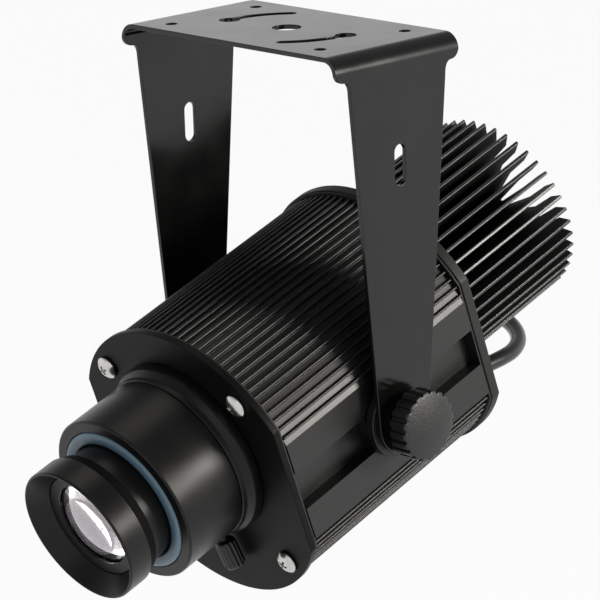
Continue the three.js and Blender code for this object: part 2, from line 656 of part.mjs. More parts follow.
// Thumbscrew through the collar, with a small gap over the barrel's tail
function thumbscrew() {
  const foot = collarRadius + lockScrew.headGap;
  const top = foot + lockScrew.headLength;
  const head = prism(grooved(lockScrew.head, lockScrew.grooves, lockScrew.grooveDepth, knob.grooveShare),
    'y', foot, top);
  return joined(head, rod(lockScrew.shank, collarBore + lockScrew.tipGap, foot + clearance));
}
const lockFrame = place('lock_screw', thumbscrew(), blackPlastic, opticsFrame);
lockFrame.position.y = lockPlace;
lockFrame.quaternion.setFromUnitVectors(new THREE.Vector3(0, 1, 0), lockDirection);

// Heat sink: radial fins round a core, a base against the rear plate and a pedestal for the light source
const boardRear = rearPlateFront;
const boardFront = boardRear - ledBoard.thickness;
const flangeFront = rearPlateFront - clearance - lampTube.flangeThickness;

function finOutline() {
  const { fins, radius, core, finThickness } = heatSink;
  const pitch = 4 * QUARTER / fins;
  const half = finThickness / 2;
  const points = [];
  for (let i = 0; i < fins; i++) {
    const angle = QUARTER + i * pitch;
    const [c, s] = [Math.cos(angle), Math.sin(angle)];
    for (const [r, side] of [[core, -half], [radius, -half], [radius, half], [core, half]]) {
      points.push([r * c - side * s, r * s + side * c]);
    }
  }
  return outlineOf(points);
}

function sink() {
  const { length, base, baseThickness, pedestal, recess, recessFloor, recessDepth } = heatSink;
  const front = rearPlateRear + clearance;
  const rear = front + length;
  const floor = rear - recessDepth;
  const hollow = turned([[0, floor], [recessFloor, floor], [recess, rear], [recess, rear + overrun],
    [0, rear + overrun]], roundSteps);
  const finFront = front + baseThickness - clearance; // clear of the plate's screw heads
  const body = joined(prism(finOutline(), 'y', finFront, rear),
    rod(base, front, front + baseThickness, 0, 0, roundSteps),
    rod(pedestal, boardRear + clearance, front + overrun, 0, 0, innerSteps));
  const holes = sinkScrewPlaces.map(([x, z]) => rod(screwHole, front - overrun, flangeFront + screw.length,
    x, z));
  return cut(body, hollow, ...holes);
}
place('heat_sink', sink(), blackAlloy, opticsFrame);
sinkScrewPlaces.forEach(([x, z], i) => {
  const fixing = place(`sink_screw_${i + 1}`, panScrew(), stainless, opticsFrame);
  fixing.position.set(x, flangeFront - clearance, z);
  fixing.rotation.x = 2 * QUARTER;
});

// Light source on the pedestal
const boardHalf = ledBoard.side / 2;
place('led_board', block(-boardHalf, boardHalf, boardFront, boardRear, -boardHalf, boardHalf), boardWhite,
  opticsFrame);
const emitterRear = boardFront - clearance;
const domeSeat = emitterRear - ledDome.baseThickness;
place('led_emitter', turned([...crown(ledDome.radius, domeSeat, -ledDome.height).reverse(),
  [ledDome.base, domeSeat], [ledDome.base, emitterRear], [0, emitterRear]], smallSteps), phosphor,
opticsFrame);

// Lamp tube with its condenser lenses and rings, stacked on the lip at its front
const tubeBore = lampTube.radius - lampTube.wall;
const ringRadius = tubeBore - clearance;
const ringBore = ringRadius - ringWall;
const firstLensRear = boardFront - condenser.gapFromBoard;
const firstLensFront = firstLensRear - condenser.edge;
const secondLensRear = firstLensFront - clearance - condenser.spacing - 2 * condenser.crown;
const secondLensFront = secondLensRear - condenser.edge;
const lipRear = secondLensFront - clearance;
const wireX = boardHalf / 2;
const wireRise = boardFront - wire.run;

function tubeBody() {
  const body = turned([[tubeBore - lampTube.lip, lampTube.front], [lampTube.radius, lampTube.front],
    [lampTube.radius, flangeFront], [lampTube.flange, flangeFront],
    [lampTube.flange, rearPlateFront - clearance], [tubeBore, rearPlateFront - clearance],
    [tubeBore, lipRear], [tubeBore - lampTube.lip, lipRear]], innerSteps);
  const wireHole = solid(new THREE.CylinderGeometry(wire.radius + clearance, wire.radius + clearance,
    lampTube.radius, smallSteps).rotateX(QUARTER).translate(wireX, wireRise, -lampTube.radius));
  const [from, to] = [flangeFront - overrun, rearPlateFront + overrun];
  return cut(body, wireHole, ...sinkScrewPlaces.map(([x, z]) => rod(screwHole, from, to, x, z)));
}
place('lamp_tube', tubeBody(), brightAlloy, opticsFrame);

const lensRim = ringBore - clearance;
place('condenser_rear', turned([...crown(lensRim, firstLensFront, -condenser.crown).reverse(),
  [ringRadius, firstLensFront], [ringRadius, firstLensRear], [0, firstLensRear]], innerSteps), glass,
opticsFrame);
place('condenser_front', turned([[0, secondLensFront], [ringRadius, secondLensFront],
  [ringRadius, secondLensRear], ...crown(lensRim, secondLensRear, condenser.crown)], innerSteps), glass,
opticsFrame);
const ring = (from, to) => turned([[ringBore, from], [ringRadius, from], [ringRadius, to], [ringBore, to]],
  innerSteps);
place('condenser_spacer', ring(secondLensRear + clearance, firstLensFront - clearance), blackPlastic,
  opticsFrame);
place('condenser_ring', ring(firstLensRear + clearance, firstLensRear + clearance + condenser.ringLength),
  blackPlastic, opticsFrame);

// Driver, seated on the curve of the housing's foot
const driverHalf = housingInner - driver.sideInset;
const driverFoot = -Math.sqrt((housingInner - clearance) ** 2 - driverHalf ** 2);
const driverEnds = [driver.place - driver.length / 2, driver.place + driver.length / 2];
const driverTop = opticsRise - lampTube.radius - driver.lampGap;
place('driver', joined(
  block(-driverHalf, driverHalf, ...driverEnds, driverFoot, driverTop - driver.rim),
  block(-driverHalf + driver.rim, driverHalf - driver.rim, driverEnds[0] + driver.rim,
    driverEnds[1] - driver.rim, driverTop - 2 * driver.rim, driverTop)), brightAlloy, housingFrame);

// A round wire or cord along points
function cable(points, radius, steps, sides) {
  const section = new THREE.Shape(Array.from({ length: sides }, (_, i) => new THREE.Vector2(
    radius * Math.cos(4 * QUARTER * (i + 0.5) / sides), radius * Math.sin(4 * QUARTER * (i + 0.5) / sides))));
  const extrudePath = new THREE.CatmullRomCurve3(points.map((p) => new THREE.Vector3(...p)), false,
    'centripetal');
  return solid(new THREE.ExtrudeGeometry(section, { steps, bevelEnabled: false, extrudePath }));
}

// Cord gland in the rear plate
const glandSeat = rearPlateRear + clearance;
const domeFoot = glandSeat + gland.flangeLength + clearance;
const domeTop = domeFoot + gland.domeLength;
const glandInside = rearPlateFront - gland.flangeLength / 2;
const cordBore = cordRadius + clearance;

function glandBody() {
  const flange = prism(outlineOf(hexagon(gland.flange)), 'y', glandSeat, glandSeat + gland.flangeLength);
  const stem = rod(gland.thread, glandInside, domeFoot + gland.flangeLength);
  return cut(joined(flange, stem), rod(cordBore, glandInside - overrun, domeTop));
}

function glandNut() {
  const body = turned([[0, domeFoot], [gland.dome, domeFoot], [gland.dome, domeFoot + gland.domeLength / 2],
    [(gland.dome + gland.domeTip) / 2 + clearance, domeTop - gland.domeLength / 4], [gland.domeTip, domeTop],
    [0, domeTop]], roundSteps / 2);
  return cut(body, rod(cordBore, domeFoot, domeTop + overrun),
    rod(gland.thread + clearance, domeFoot - overrun, domeFoot + gland.flangeLength + clearance));
}
place('gland_body', glandBody(), blackPlastic, housingFrame).position.set(gland.x, 0, gland.z);
place('gland_nut', glandNut(), blackPlastic, housingFrame).position.set(gland.x, 0, gland.z);

// Wires inside: mains from the gland to the driver, and the driver's feed through the lamp tube to the board
const wireStart = driverEnds[1] + clearance;
place('mains_wire', cable([[gland.x, glandInside - clearance, gland.z],
  [gland.x, glandInside - wire.lead, gland.z],
  [gland.x, wireStart + wire.lead, gland.z + wire.entry], [gland.x, wireStart, gland.z + wire.entry]],
wire.radius, wireSteps, wireSides), rubber, housingFrame);
const boardFoot = opticsRise - boardHalf;
place('led_wire', cable([[wireX, wireStart, driverTop - wire.drop],
  [wireX, wireStart + wire.lead, driverTop - wire.drop],
  [wireX, wireRise, driverTop + wire.drop], [wireX, wireRise, boardFoot - wire.lead],
  [wireX, boardFront - wire.lead, boardFoot + wire.radius],
  [wireX, boardFront - clearance, boardFoot + wire.radius]],
wire.radius, wireSteps, wireSides), rubber, housingFrame);

// The cord's free stretch, from the gland to the coil. These points are chosen by hand.
const cordStart = new THREE.Vector3(gland.x, domeTop + clearance, gland.z + housingRise)
  .applyEuler(projector.rotation).add(projector.position);
const cordHeading = new THREE.Vector3(0, 1, 0).applyEuler(projector.rotation);
const coilInner = coil.outer - coil.pitch * coilTurns / coilLayers;
const coilTop = coil.z + coil.outer;
const coilStraight = 2 * cordRadius;
const route = [
  cordStart.toArray(),
  cordStart.clone().addScaledVector(cordHeading, 2 * cordRadius).toArray(),
  [14, 110, -171.3],
  [13.8, 117.5, -170.6],
  [12, 126.6, -170],
  [7, 136.4, -168.8],
  [-1, 144.2, -167],
  [-11, 149.2, -165],
  [-22, 151, -163.3],
  [-35.4, 151, -161.6],
  [-46.6, 149.2, -160.8],
  [-56.6, 144.2, -160.3],
  [-64.5, 136.4, -160.4],
  [-69.5, 126.6, -161],
  [-71.4, 116, -161.9],
  [coil.x, 105, -162.8],
  [coil.x, 95, -163.7],
  [coil.x, coil.y + 2 * coilStraight, coilTop],
  [coil.x, coil.y + coilStraight + clearance, coilTop],
];
place('cord_lead', cable(route, cordRadius, leadSteps, leadSides), cableBlack);

// The coil hangs from its lead. Each layer spirals in or out, and the next starts where that turns back.
function coilPoints() {
  const points = [[coil.x, coil.y + coilStraight, coilTop]];
  const count = Math.round(coilTurns * coilSteps);
  const perLayer = coilTurns / coilLayers;
  let angle = QUARTER;
  for (let i = 0; i <= count; i++) {
    const turn = i / coilSteps;
    const phase = turn / perLayer % 2;
    const radius = coil.outer - coil.pitch * perLayer * Math.min(phase, 2 - phase);
    let climbed = 0;
    for (let layer = 1; layer < coilLayers; layer++) {
      const change = layer * perLayer;
      climbed += THREE.MathUtils.smoothstep(turn, change - climbTurns / 2, change + climbTurns / 2);
    }
    angle = QUARTER + 4 * QUARTER * turn;
    points.push([coil.x - coil.layer * climbed, coil.y + radius * Math.cos(angle),
      coil.z + radius * Math.sin(angle)]);
  }
  const [x, y, z] = points[points.length - 1];
  points.push([x, y - coil.tail * Math.sin(angle), z + coil.tail * Math.cos(angle)]);
  return points.map((p) => new THREE.Vector3(...p));
}

// A closed tube along points, with a ring square to the path at each
function tube(points, radius, sides) {
  const vertices = [];
  const index = [];
  const across = new THREE.Vector3(1, 0, 0);
  points.forEach((point, i) => {
    const before = points[Math.max(i - 1, 0)];
    const after = points[Math.min(i + 1, points.length - 1)];
    const along = after.clone().sub(before).normalize();
    const u = across.clone().addScaledVector(along, -across.dot(along)).normalize();
    const v = along.clone().cross(u);
    for (let k = 0; k < sides; k++) {
      const angle = 4 * QUARTER * (k + 0.5) / sides;
      const spoke = u.clone().multiplyScalar(Math.cos(angle)).addScaledVector(v, Math.sin(angle));
      vertices.push(...point.clone().addScaledVector(spoke, radius).toArray());
    }
  });
  for (let i = 0; i < points.length - 1; i++) {
    for (let k = 0; k < sides; k++) {
      const [a, b] = [i * sides + k, i * sides + (k + 1) % sides];
      index.push(a, b, a + sides, b, b + sides, a + sides);
    }
  }
  const last = (points.length - 1) * sides;
  for (let k = 1; k < sides - 1; k++) index.push(0, k + 1, k, last, last + k, last + k + 1);
  const geometry = new THREE.BufferGeometry();
  geometry.setAttribute('position', new THREE.Float32BufferAttribute(vertices, 3));
  geometry.setIndex(index);
  return solid(geometry);
}

// The least gap between turns of the coil, measured on its points
function leastGap(points) {
  let least = Infinity;
  for (let i = 0; i < points.length; i++) {
    for (let k = i + coilSteps / 2; k < points.length; k++) {
      least = Math.min(least, points[i].distanceTo(points[k]) - 2 * cordRadius);
    }
  }
  return least;
}
const turns = coilPoints();
place('cord_coil', tube(turns, cordRadius, coilSides), cableBlack);
const lengthOf = (points) => points.slice(1).reduce((sum, p, i) => sum + p.distanceTo(points[i]), 0);
console.log('coil gap', leastGap(turns).toFixed(2), 'coil length', lengthOf(turns).toFixed(0),
  'lead length', lengthOf(route.map((p) => new THREE.Vector3(...p))).toFixed(0));

// A strap round the coil's section, at its top, where the lead comes in
function strap() {
  const half = tie.width / 2;
  const inner = Math.sqrt((coilInner - cordRadius) ** 2 - half ** 2) - tie.gap;
  const outer = coil.outer + cordRadius + tie.gap;
  const near = cordRadius + tie.gap;
  const far = -coil.layer * (coilLayers - 1) - near;
  const around = block(far - tie.thickness, near + tie.thickness, inner - tie.thickness,
    outer + tie.thickness,
    -half, half);
  return cut(around, block(far, near, inner, outer, -half - overrun, half + overrun));
}
const strapMesh = place('cord_tie', strap(), rubber);
strapMesh.position.set(coil.x, coil.y, coil.z);
strapMesh.rotation.x = tieAngle;

// The plug on the coil's tail, built along -Z
const tail = turns.slice(-2);
const plugFrame = new THREE.Group();
plugFrame.position.copy(tail[1]);
plugFrame.quaternion.setFromUnitVectors(new THREE.Vector3(0, 0, -1),
  tail[1].clone().sub(tail[0]).normalize());
part.add(plugFrame);
const plugTop = -clearance - plug.relief;
const plugFoot = plugTop - plug.length;

function plugBody() {
  const half = plug.thickness / 2;
  const relief = solid(new THREE.CylinderGeometry(plug.reliefTip, plug.neck, plug.relief + overrun,
    smallSteps)
    .rotateX(QUARTER).translate(0, 0, plugTop + (plug.relief - overrun) / 2));
  const outline = new THREE.Shape();
  outline.moveTo(-plug.waist, plugTop);
  outline.lineTo(-plug.half, plugFoot + plug.foot);
  outline.lineTo(-plug.half, plugFoot);
  outline.lineTo(plug.half, plugFoot);
  outline.lineTo(plug.half, plugFoot + plug.foot);
  outline.lineTo(plug.waist, plugTop);
  outline.closePath();
  return joined(prism(outline, 'x', -half, half), relief);
}
place('plug_body', plugBody(), cableBlack, plugFrame);
const pinTop = plugFoot - clearance;
const bladeHalf = plug.bladeWidth / 2;
for (const [name, side] of [['plug_blade_live', -1], ['plug_blade_neutral', 1]]) {
  const x = side * plug.pinSpread / 2;
  const blade = block(x - plug.blade / 2, x + plug.blade / 2, plug.lift - bladeHalf, plug.lift + bladeHalf,
    pinTop - plug.pinLength, pinTop);
  place(name, blade, brass, plugFrame);
}
const earth = solid(new THREE.CylinderGeometry(plug.earthRadius, plug.earthRadius, plug.earthLength,
  smallSteps)
  .rotateX(QUARTER).translate(0, plug.lift - plug.earthDrop, pinTop - plug.earthLength / 2));
place('plug_pin_earth', earth, brass, plugFrame);

export default part;
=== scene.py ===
"""Looks of the gobo projector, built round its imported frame. Blender 4.5, metres.

Pieces are drawn in millimetres in the frames of the CAD source, then moved into the row frame.
"""
import json
import math

import bmesh
import bpy
from mathutils import Matrix, Vector


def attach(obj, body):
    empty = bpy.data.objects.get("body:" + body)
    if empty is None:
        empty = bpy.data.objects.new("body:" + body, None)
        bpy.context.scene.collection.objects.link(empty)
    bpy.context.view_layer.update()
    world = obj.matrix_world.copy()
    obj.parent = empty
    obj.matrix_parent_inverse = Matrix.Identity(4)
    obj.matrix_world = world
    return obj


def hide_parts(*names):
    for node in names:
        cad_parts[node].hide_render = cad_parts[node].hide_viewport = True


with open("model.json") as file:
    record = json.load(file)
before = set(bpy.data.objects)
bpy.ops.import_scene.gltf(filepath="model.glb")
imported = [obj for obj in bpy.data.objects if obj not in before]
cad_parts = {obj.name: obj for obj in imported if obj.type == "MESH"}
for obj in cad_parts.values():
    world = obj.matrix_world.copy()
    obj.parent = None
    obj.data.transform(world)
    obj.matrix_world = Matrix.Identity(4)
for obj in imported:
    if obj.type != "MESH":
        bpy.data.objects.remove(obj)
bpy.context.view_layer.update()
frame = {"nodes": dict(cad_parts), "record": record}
nodes = frame["nodes"]

MM = 0.001
TAU = 2 * math.pi
CORNERS = ((-1, -1), (1, -1), (1, 1), (-1, 1))

# Frames of the CAD source, from millimetres to the row frame
PIVOT_DROP = 159.3
TILT = 0.334
HOUSING_RISE = 1.8
OPTICS_RISE = 8.9
ROW = Matrix.Scale(MM, 4)
PROJECTOR = ROW @ Matrix.Translation((0, 0, -PIVOT_DROP)) @ Matrix.Rotation(TILT, 4, "X")
HOUSING = PROJECTOR @ Matrix.Translation((0, 0, HOUSING_RISE))
OPTICS = HOUSING @ Matrix.Translation((0, 0, OPTICS_RISE))
SIDES = {
    "right": PROJECTOR @ Matrix.Rotation(-TAU / 4, 4, "Z"),
    "left": PROJECTOR @ Matrix.Rotation(TAU / 4, 4, "Z"),
}
HOUSING_PLACE, OPTICS_PLACE = tuple(HOUSING.translation), tuple(OPTICS.translation)

# Sizes that several pieces share, in millimetres. The fins turn smoother between the radii of FIN_TIP
CLEARANCE = 0.3
STUD_HOLE = 4.2
FIN_TIP = (43.6, 44.3)

# Camera, fitted to the photograph
CAMERA_AT = (0.8650, -0.8264, 0.2278)
CAMERA_AZIMUTH = math.radians(46.199)
CAMERA_ELEVATION = math.radians(16.187)
CAMERA_ROLL = math.radians(-1.665)
CAMERA_LENS = 173.1
CAMERA_SENSOR = 36


def placed(name, data):
    """A new object with this data, in the scene."""
    made = bpy.data.objects.new(name, data)
    bpy.context.scene.collection.objects.link(made)
    return made


def make_camera():
    data = bpy.data.cameras.new("camera")
    data.sensor_width = CAMERA_SENSOR
    data.lens = CAMERA_LENS
    data.clip_start = 0.05
    data.clip_end = 50
    camera = placed("camera", data)
    azimuth, elevation = CAMERA_AZIMUTH, CAMERA_ELEVATION
    back = Vector((
        math.sin(azimuth) * math.cos(elevation),
        -math.cos(azimuth) * math.cos(elevation),
        math.sin(elevation),
    ))
    level = Vector((math.cos(azimuth), math.sin(azimuth), 0))
    upward = back.cross(level)
    right = level * math.cos(CAMERA_ROLL) + upward * math.sin(CAMERA_ROLL)
    up = upward * math.cos(CAMERA_ROLL) - level * math.sin(CAMERA_ROLL)
    turn = Matrix((right, up, back)).transposed().to_4x4()
    camera.matrix_world = Matrix.Translation(CAMERA_AT) @ turn
    bpy.context.scene.camera = camera


make_camera()


# Materials
class Nodes:
    """A material's node tree, with short calls for what these finishes need."""

    def __init__(self, name):
        self.material = bpy.data.materials.new(name)
        self.material.use_nodes = True
        self.tree = self.material.node_tree
        self.shader = self.tree.nodes["Principled BSDF"]
        self.coordinates = self.add("ShaderNodeTexCoord").outputs["Object"]

    def add(self, kind, **values):
        node = self.tree.nodes.new(kind)
        for key, value in values.items():
            setattr(node, key, value)
        return node

    def join(self, source, target):
        self.tree.links.new(source, target)

    def put(self, socket, value):
        if isinstance(value, bpy.types.NodeSocket):
            self.join(value, socket)
        else:
            socket.default_value = value

    def tune(self, node, **values):
        """Puts the values in the sockets with those names and gives the node's outputs."""
        for key, value in values.items():
            self.put(node.inputs[key.replace("_", " ")], value)
        return node.outputs

    def set(self, **values):
        self.tune(self.shader, **values)

    def feed(self, node, *values):
        """Puts the values in the node's first sockets and gives its first output."""
        for socket, value in zip(node.inputs, values):
            self.put(socket, value)
        return node.outputs[0]

    def math(self, operation, *values):
        return self.feed(self.add("ShaderNodeMath", operation=operation), *values)

    def vector(self, x, y, z):
        return self.feed(self.add("ShaderNodeCombineXYZ"), x, y, z)

    def local(self, place, turn=0.0):
        """Coordinates in millimetres in a frame turned about X, with its origin at place in metres."""
        node = self.add("ShaderNodeMapping", vector_type="TEXTURE")
        return self.feed(node, self.coordinates, place, (turn, 0, 0), (MM, MM, MM))

    def split(self, vector):
        return self.tune(self.add("ShaderNodeSeparateXYZ"), Vector=vector)

    def noise(self, vector, scale, detail=2.0, roughness=0.5):
        node = self.add("ShaderNodeTexNoise")
        return self.tune(node, Vector=vector, Scale=scale, Detail=detail, Roughness=roughness)["Fac"]

    def ramp(self, value, low, high, out_low, out_high):
        return self.feed(self.add("ShaderNodeMapRange"), value, low, high, out_low, out_high)

    def mix(self, factor, first, second):
        node = self.add("ShaderNodeMix", data_type="RGBA")
        self.put(node.inputs["Factor"], factor)
        for socket, colour in zip([s for s in node.inputs if s.type == "RGBA"], (first, second)):
            self.put(socket, colour)
        return [s for s in node.outputs if s.type == "RGBA"][0]

    def shades(self, value, first, second):
        """The first colour where the value is low, and the second where it is high."""
        return self.mix(self.ramp(value, 0.35, 0.65, 0, 1), first, second)

    def bump(self, height, distance):
        """A bump whose height runs over distance, in metres."""
        return self.tune(self.add("ShaderNodeBump"), Distance=distance, Height=height)["Normal"]

    def optics(self):
        """Coordinates in the optics' frame, and the distance from its axis."""
        x, y, z = self.split(self.local(OPTICS_PLACE, TILT))
        squares = self.math("ADD", self.math("MULTIPLY", x, x), self.math("MULTIPLY", z, z))
        return x, y, z, self.math("SQRT", squares)


def grey(value, warm=0.0):
    return (value * (1 + warm), value, value * (1 - warm), 1)


def paint_finish(name, shade, gloss, peel, specular):
    """Powder-coated black: orange peel, and a cloudy gloss."""
    n = Nodes(name)
    at = n.local((0, 0, 0))
    wide = n.noise(at, 0.05, 3)
    grain = n.noise(at, 1.6, 2)
    n.set(
        Base_Color=n.shades(wide, grey(shade * 0.9, 0.02), grey(shade * 1.12, 0.03)),
        Roughness=n.ramp(wide, 0.3, 0.7, gloss - 0.02, gloss + 0.04),
        Normal=n.bump(grain, peel * MM),
        Specular_IOR_Level=specular,
    )
    return n.material


def drawn_finish(name, shade, gloss):
    """Black anodised extrusion: die lines along the body's axis and a faint cloudiness."""
    n = Nodes(name)
    x, y, z = n.split(n.local(HOUSING_PLACE, TILT))
    lines = n.noise(n.vector(x, n.math("MULTIPLY", y, 0.01), z), 9.0, 2, 0.5)
    cloud = n.noise(n.vector(x, y, z), 0.06, 2)
    n.set(
        Base_Color=n.shades(lines, grey(shade * 0.8), grey(shade * 1.25, 0.02)),
        Roughness=n.ramp(n.math("ADD", lines, cloud), 0.7, 1.3, gloss - 0.02, gloss + 0.03),
        Normal=n.bump(lines, 0.001 * MM),
    )
    return n.material


def fin_finish(name, shade, sides, tips):
    """Black anodised fins: rough saw-cut sides and smoother tips."""
    n = Nodes(name)
    _, y, _, radius = n.optics()
    lines = n.noise(n.vector(radius, n.math("MULTIPLY", y, 0.02), 0.0), 6.0, 2)
    tip = n.ramp(radius, *FIN_TIP, 0, 1)
    n.set(
        Base_Color=n.shades(lines, grey(shade * 0.8), grey(shade * 1.25, 0.02)),
        Roughness=n.math("ADD", n.ramp(tip, 0, 1, sides, tips), n.ramp(lines, 0.3, 0.7, -0.02, 0.02)),
        Specular_IOR_Level=n.ramp(tip, 0, 1, 0.15, 0.7),
    )
    return n.material


def turned_finish(name, shade, gloss, specular, band=(0, 0)):
    """Black anodised turned metal: tool lines round the optical axis, and a matte band from y to y."""
    n = Nodes(name)
    x, y, z, radius = n.optics()
    rings = n.noise(n.vector(radius, y, 0.0), 3.0, 4, 0.6)
    cloud = n.noise(n.vector(x, y, z), 0.07, 2)
    matte = n.math("COMPARE", y, (band[0] + band[1]) / 2, (band[1] - band[0]) / 2)
    rough = n.ramp(n.math("ADD", rings, cloud), 0.7, 1.3, gloss - 0.04, gloss + 0.05)
    n.set(
        Base_Color=n.shades(cloud, grey(shade * 0.85), grey(shade * 1.15, 0.02)),
        Roughness=n.math("ADD", rough, n.math("MULTIPLY", matte, 0.3)),
        Normal=n.bump(rings, 0.004 * MM),
        Specular_IOR_Level=n.ramp(matte, 0, 1, specular, 0.05),
    )
    return n.material


def moulded_finish(name, shade, gloss, grain_size, depth):
    """Moulded plastic or rubber with a sparked, matte grain."""
    n = Nodes(name)
    at = n.local((0, 0, 0))
    grain = n.noise(at, grain_size, 2, 0.6)
    wide = n.noise(at, 0.08, 2)
    n.set(
        Base_Color=n.shades(wide, grey(shade * 0.9), grey(shade * 1.15)),
        Roughness=n.ramp(grain, 0.3, 0.7, gloss - 0.06, gloss + 0.06),
        Normal=n.bump(grain, depth * MM),
    )
    return n.material


def metal_finish(name, colour, gloss):
    """Bare metal with hairlines and a little staining."""
    n = Nodes(name)
    x, y, z = n.split(n.local((0, 0, 0)))
    hairs = n.noise(n.vector(n.math("MULTIPLY", x, 0.15), y, z), 2.5, 3, 0.65)
    stain = n.noise(n.vector(x, y, z), 0.25, 2)
    dark = tuple(c * 0.82 for c in colour) + (1,)
    n.set(
        Base_Color=n.mix(n.ramp(stain, 0.35, 0.7, 0, 1), colour + (1,), dark),
        Metallic=1.0,
        Roughness=n.ramp(hairs, 0.3, 0.7, gloss - 0.06, gloss + 0.08),
        Normal=n.bump(hairs, 0.002 * MM),
    )
    return n.material


def silicone_finish(name):
    """Translucent blue, paler towards the rim."""
    n = Nodes(name)
    x, y, z, radius = n.optics()
    cloud = n.noise(n.vector(x, y, z), 0.12, 2)
    rings = n.noise(n.vector(radius, y, 0.0), 2.2, 2)
    edge = n.ramp(radius, 28.0, 32.8, 0, 1)
    inner = n.mix(cloud, (0.055, 0.12, 0.185, 1), (0.075, 0.15, 0.225, 1))
    n.set(
        Base_Color=n.mix(edge, inner, (0.15, 0.24, 0.31, 1)),
        Roughness=n.ramp(cloud, 0.3, 0.7, 0.3, 0.42),
        Normal=n.bump(rings, 0.02 * MM),
        Subsurface_Weight=0.25,
        Subsurface_Radius=(0.001, 0.0015, 0.002),
        Subsurface_Scale=1.0,
    )
    return n.material


def glass_finish(name, tint, coating):
    """Clear coated glass: faint polish marks in its gloss, and the coating's colour in its reflections."""
    n = Nodes(name)
    marks = n.noise(n.local((0, 0, 0)), 0.4, 3)
    n.set(
        Base_Color=tint,
        Roughness=n.ramp(marks, 0.3, 0.7, 0.0, 0.02),
        IOR=1.52,
        Transmission_Weight=1.0,
        Specular_Tint=coating,
        Coat_Weight=1.0,
        Coat_IOR=2.5,
        Coat_Roughness=0.02,
    )
    return n.material


def coat_finish(name, scale, first, second, rough, relief=None):
    """A matte coat with faint clouds."""
    n = Nodes(name)
    cloud = n.noise(n.local((0, 0, 0)), scale, 3)
    n.set(Base_Color=n.mix(cloud, first, second), Roughness=n.ramp(cloud, 0.3, 0.7, *rough))
    if relief:
        n.set(Normal=n.bump(cloud, relief * MM))
    return n.material


finishes = {name: make(name, *values) for name, make, *values in (
    ("yoke_paint", paint_finish, 0.003, 0.17, 0.004, 0.45),
    ("plate_paint", paint_finish, 0.004, 0.42, 0.010, 0.1),
    ("rear_paint", paint_finish, 0.006, 0.55, 0.030, 0.35),
    ("anodised_black", drawn_finish, 0.004, 0.4),
    ("sink_black", fin_finish, 0.004, 0.65, 0.36),
    ("turned_black", turned_finish, 0.004, 0.33, 0.25),
    ("focus_black", turned_finish, 0.004, 0.33, 0.25, (-118.2, -114.4)),
    ("gasket_rubber", moulded_finish, 0.004, 0.6, 3.0, 0.02),
    ("black_plastic", moulded_finish, 0.004, 0.40, 1.5, 0.15),
    ("cable_jacket", moulded_finish, 0.012, 0.25, 2.0, 0.01),
    ("stainless", metal_finish, (0.62, 0.61, 0.59), 0.2),
    ("bare_aluminium", metal_finish, (0.58, 0.585, 0.6), 0.36),
    ("brass", metal_finish, (0.56, 0.40, 0.16), 0.28),
    ("blue_silicone", silicone_finish),
    ("lens_glass", glass_finish, (0.97, 0.95, 0.98, 1), (0.75, 0.55, 0.72, 1)),
    ("print_glass", glass_finish, (0.80, 0.86, 0.88, 1), (0.8, 0.9, 0.95, 1)),
    ("board_white", coat_finish, 0.8, (0.70, 0.69, 0.64, 1), (0.80, 0.79, 0.75, 1), (0.42, 0.55)),
    ("phosphor", coat_finish, 1.2, (0.72, 0.52, 0.08, 1), (0.86, 0.66, 0.14, 1), (0.3, 0.5), 0.03),
)}

# Every CAD node takes the finish of its slot. Most that show are replaced below.
for row in frame["record"]["subparts"]:
    holder = nodes[row["node"]]
    holder.data.materials.clear()
    holder.data.materials.append(finishes[row["material_slot"]])


# Mesh tools
def mesh_of(name, vertices, faces):
    mesh = bpy.data.meshes.new(name)
    mesh.from_pydata(vertices, [], faces)
    return mesh


def tidy(mesh, merge=1e-4):
    """Merges doubled points, drops empty faces and turns the faces out. The mesh is in millimetres."""
    work = bmesh.new()
    work.from_mesh(mesh)
    bmesh.ops.remove_doubles(work, verts=work.verts, dist=merge)
    bmesh.ops.dissolve_degenerate(work, edges=work.edges, dist=merge)
    bmesh.ops.recalc_face_normals(work, faces=work.faces)
    work.to_mesh(mesh)
    work.free()
    return mesh


def merged(name, meshes):
    work = bmesh.new()
    for mesh in meshes:
        work.from_mesh(mesh)
    out = bpy.data.meshes.new(name)
    work.to_mesh(out)
    work.free()
    return out


def piece(name, mesh, matrix, body, finish, replaced, smooth=40.0, level=True):
    """The object, with its finish, the body that it rides on and the CAD nodes that it stands for."""
    tidy(mesh)
    mesh.transform(matrix)
    for face in mesh.polygons:
        face.use_smooth = True
    mesh.set_sharp_from_angle(angle=math.radians(smooth))
    mesh.materials.append(finishes[finish])
    made = placed(name, mesh)
    if level:
        normals = made.modifiers.new("level", "WEIGHTED_NORMAL")
        normals.keep_sharp = True
        normals.weight = 100
    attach(made, body)
    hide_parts(*replaced)
    return made


def arc(cx, cy, radius, start, end, steps):
    turns = [start + (end - start) * i / steps for i in range(steps + 1)]
    return [(cx + radius * math.cos(turn), cy + radius * math.sin(turn)) for turn in turns]


def polar(radius, angle):
    return radius * math.cos(angle), radius * math.sin(angle)


def bezier(near, corner, far, t):
    return near * (1 - t) ** 2 + corner * 2 * t * (1 - t) + far * t ** 2


def ring_points(radius, x=0.0, y=0.0, steps=64):
    return arc(x, y, radius, 0, TAU * (steps - 1) / steps, steps - 1)


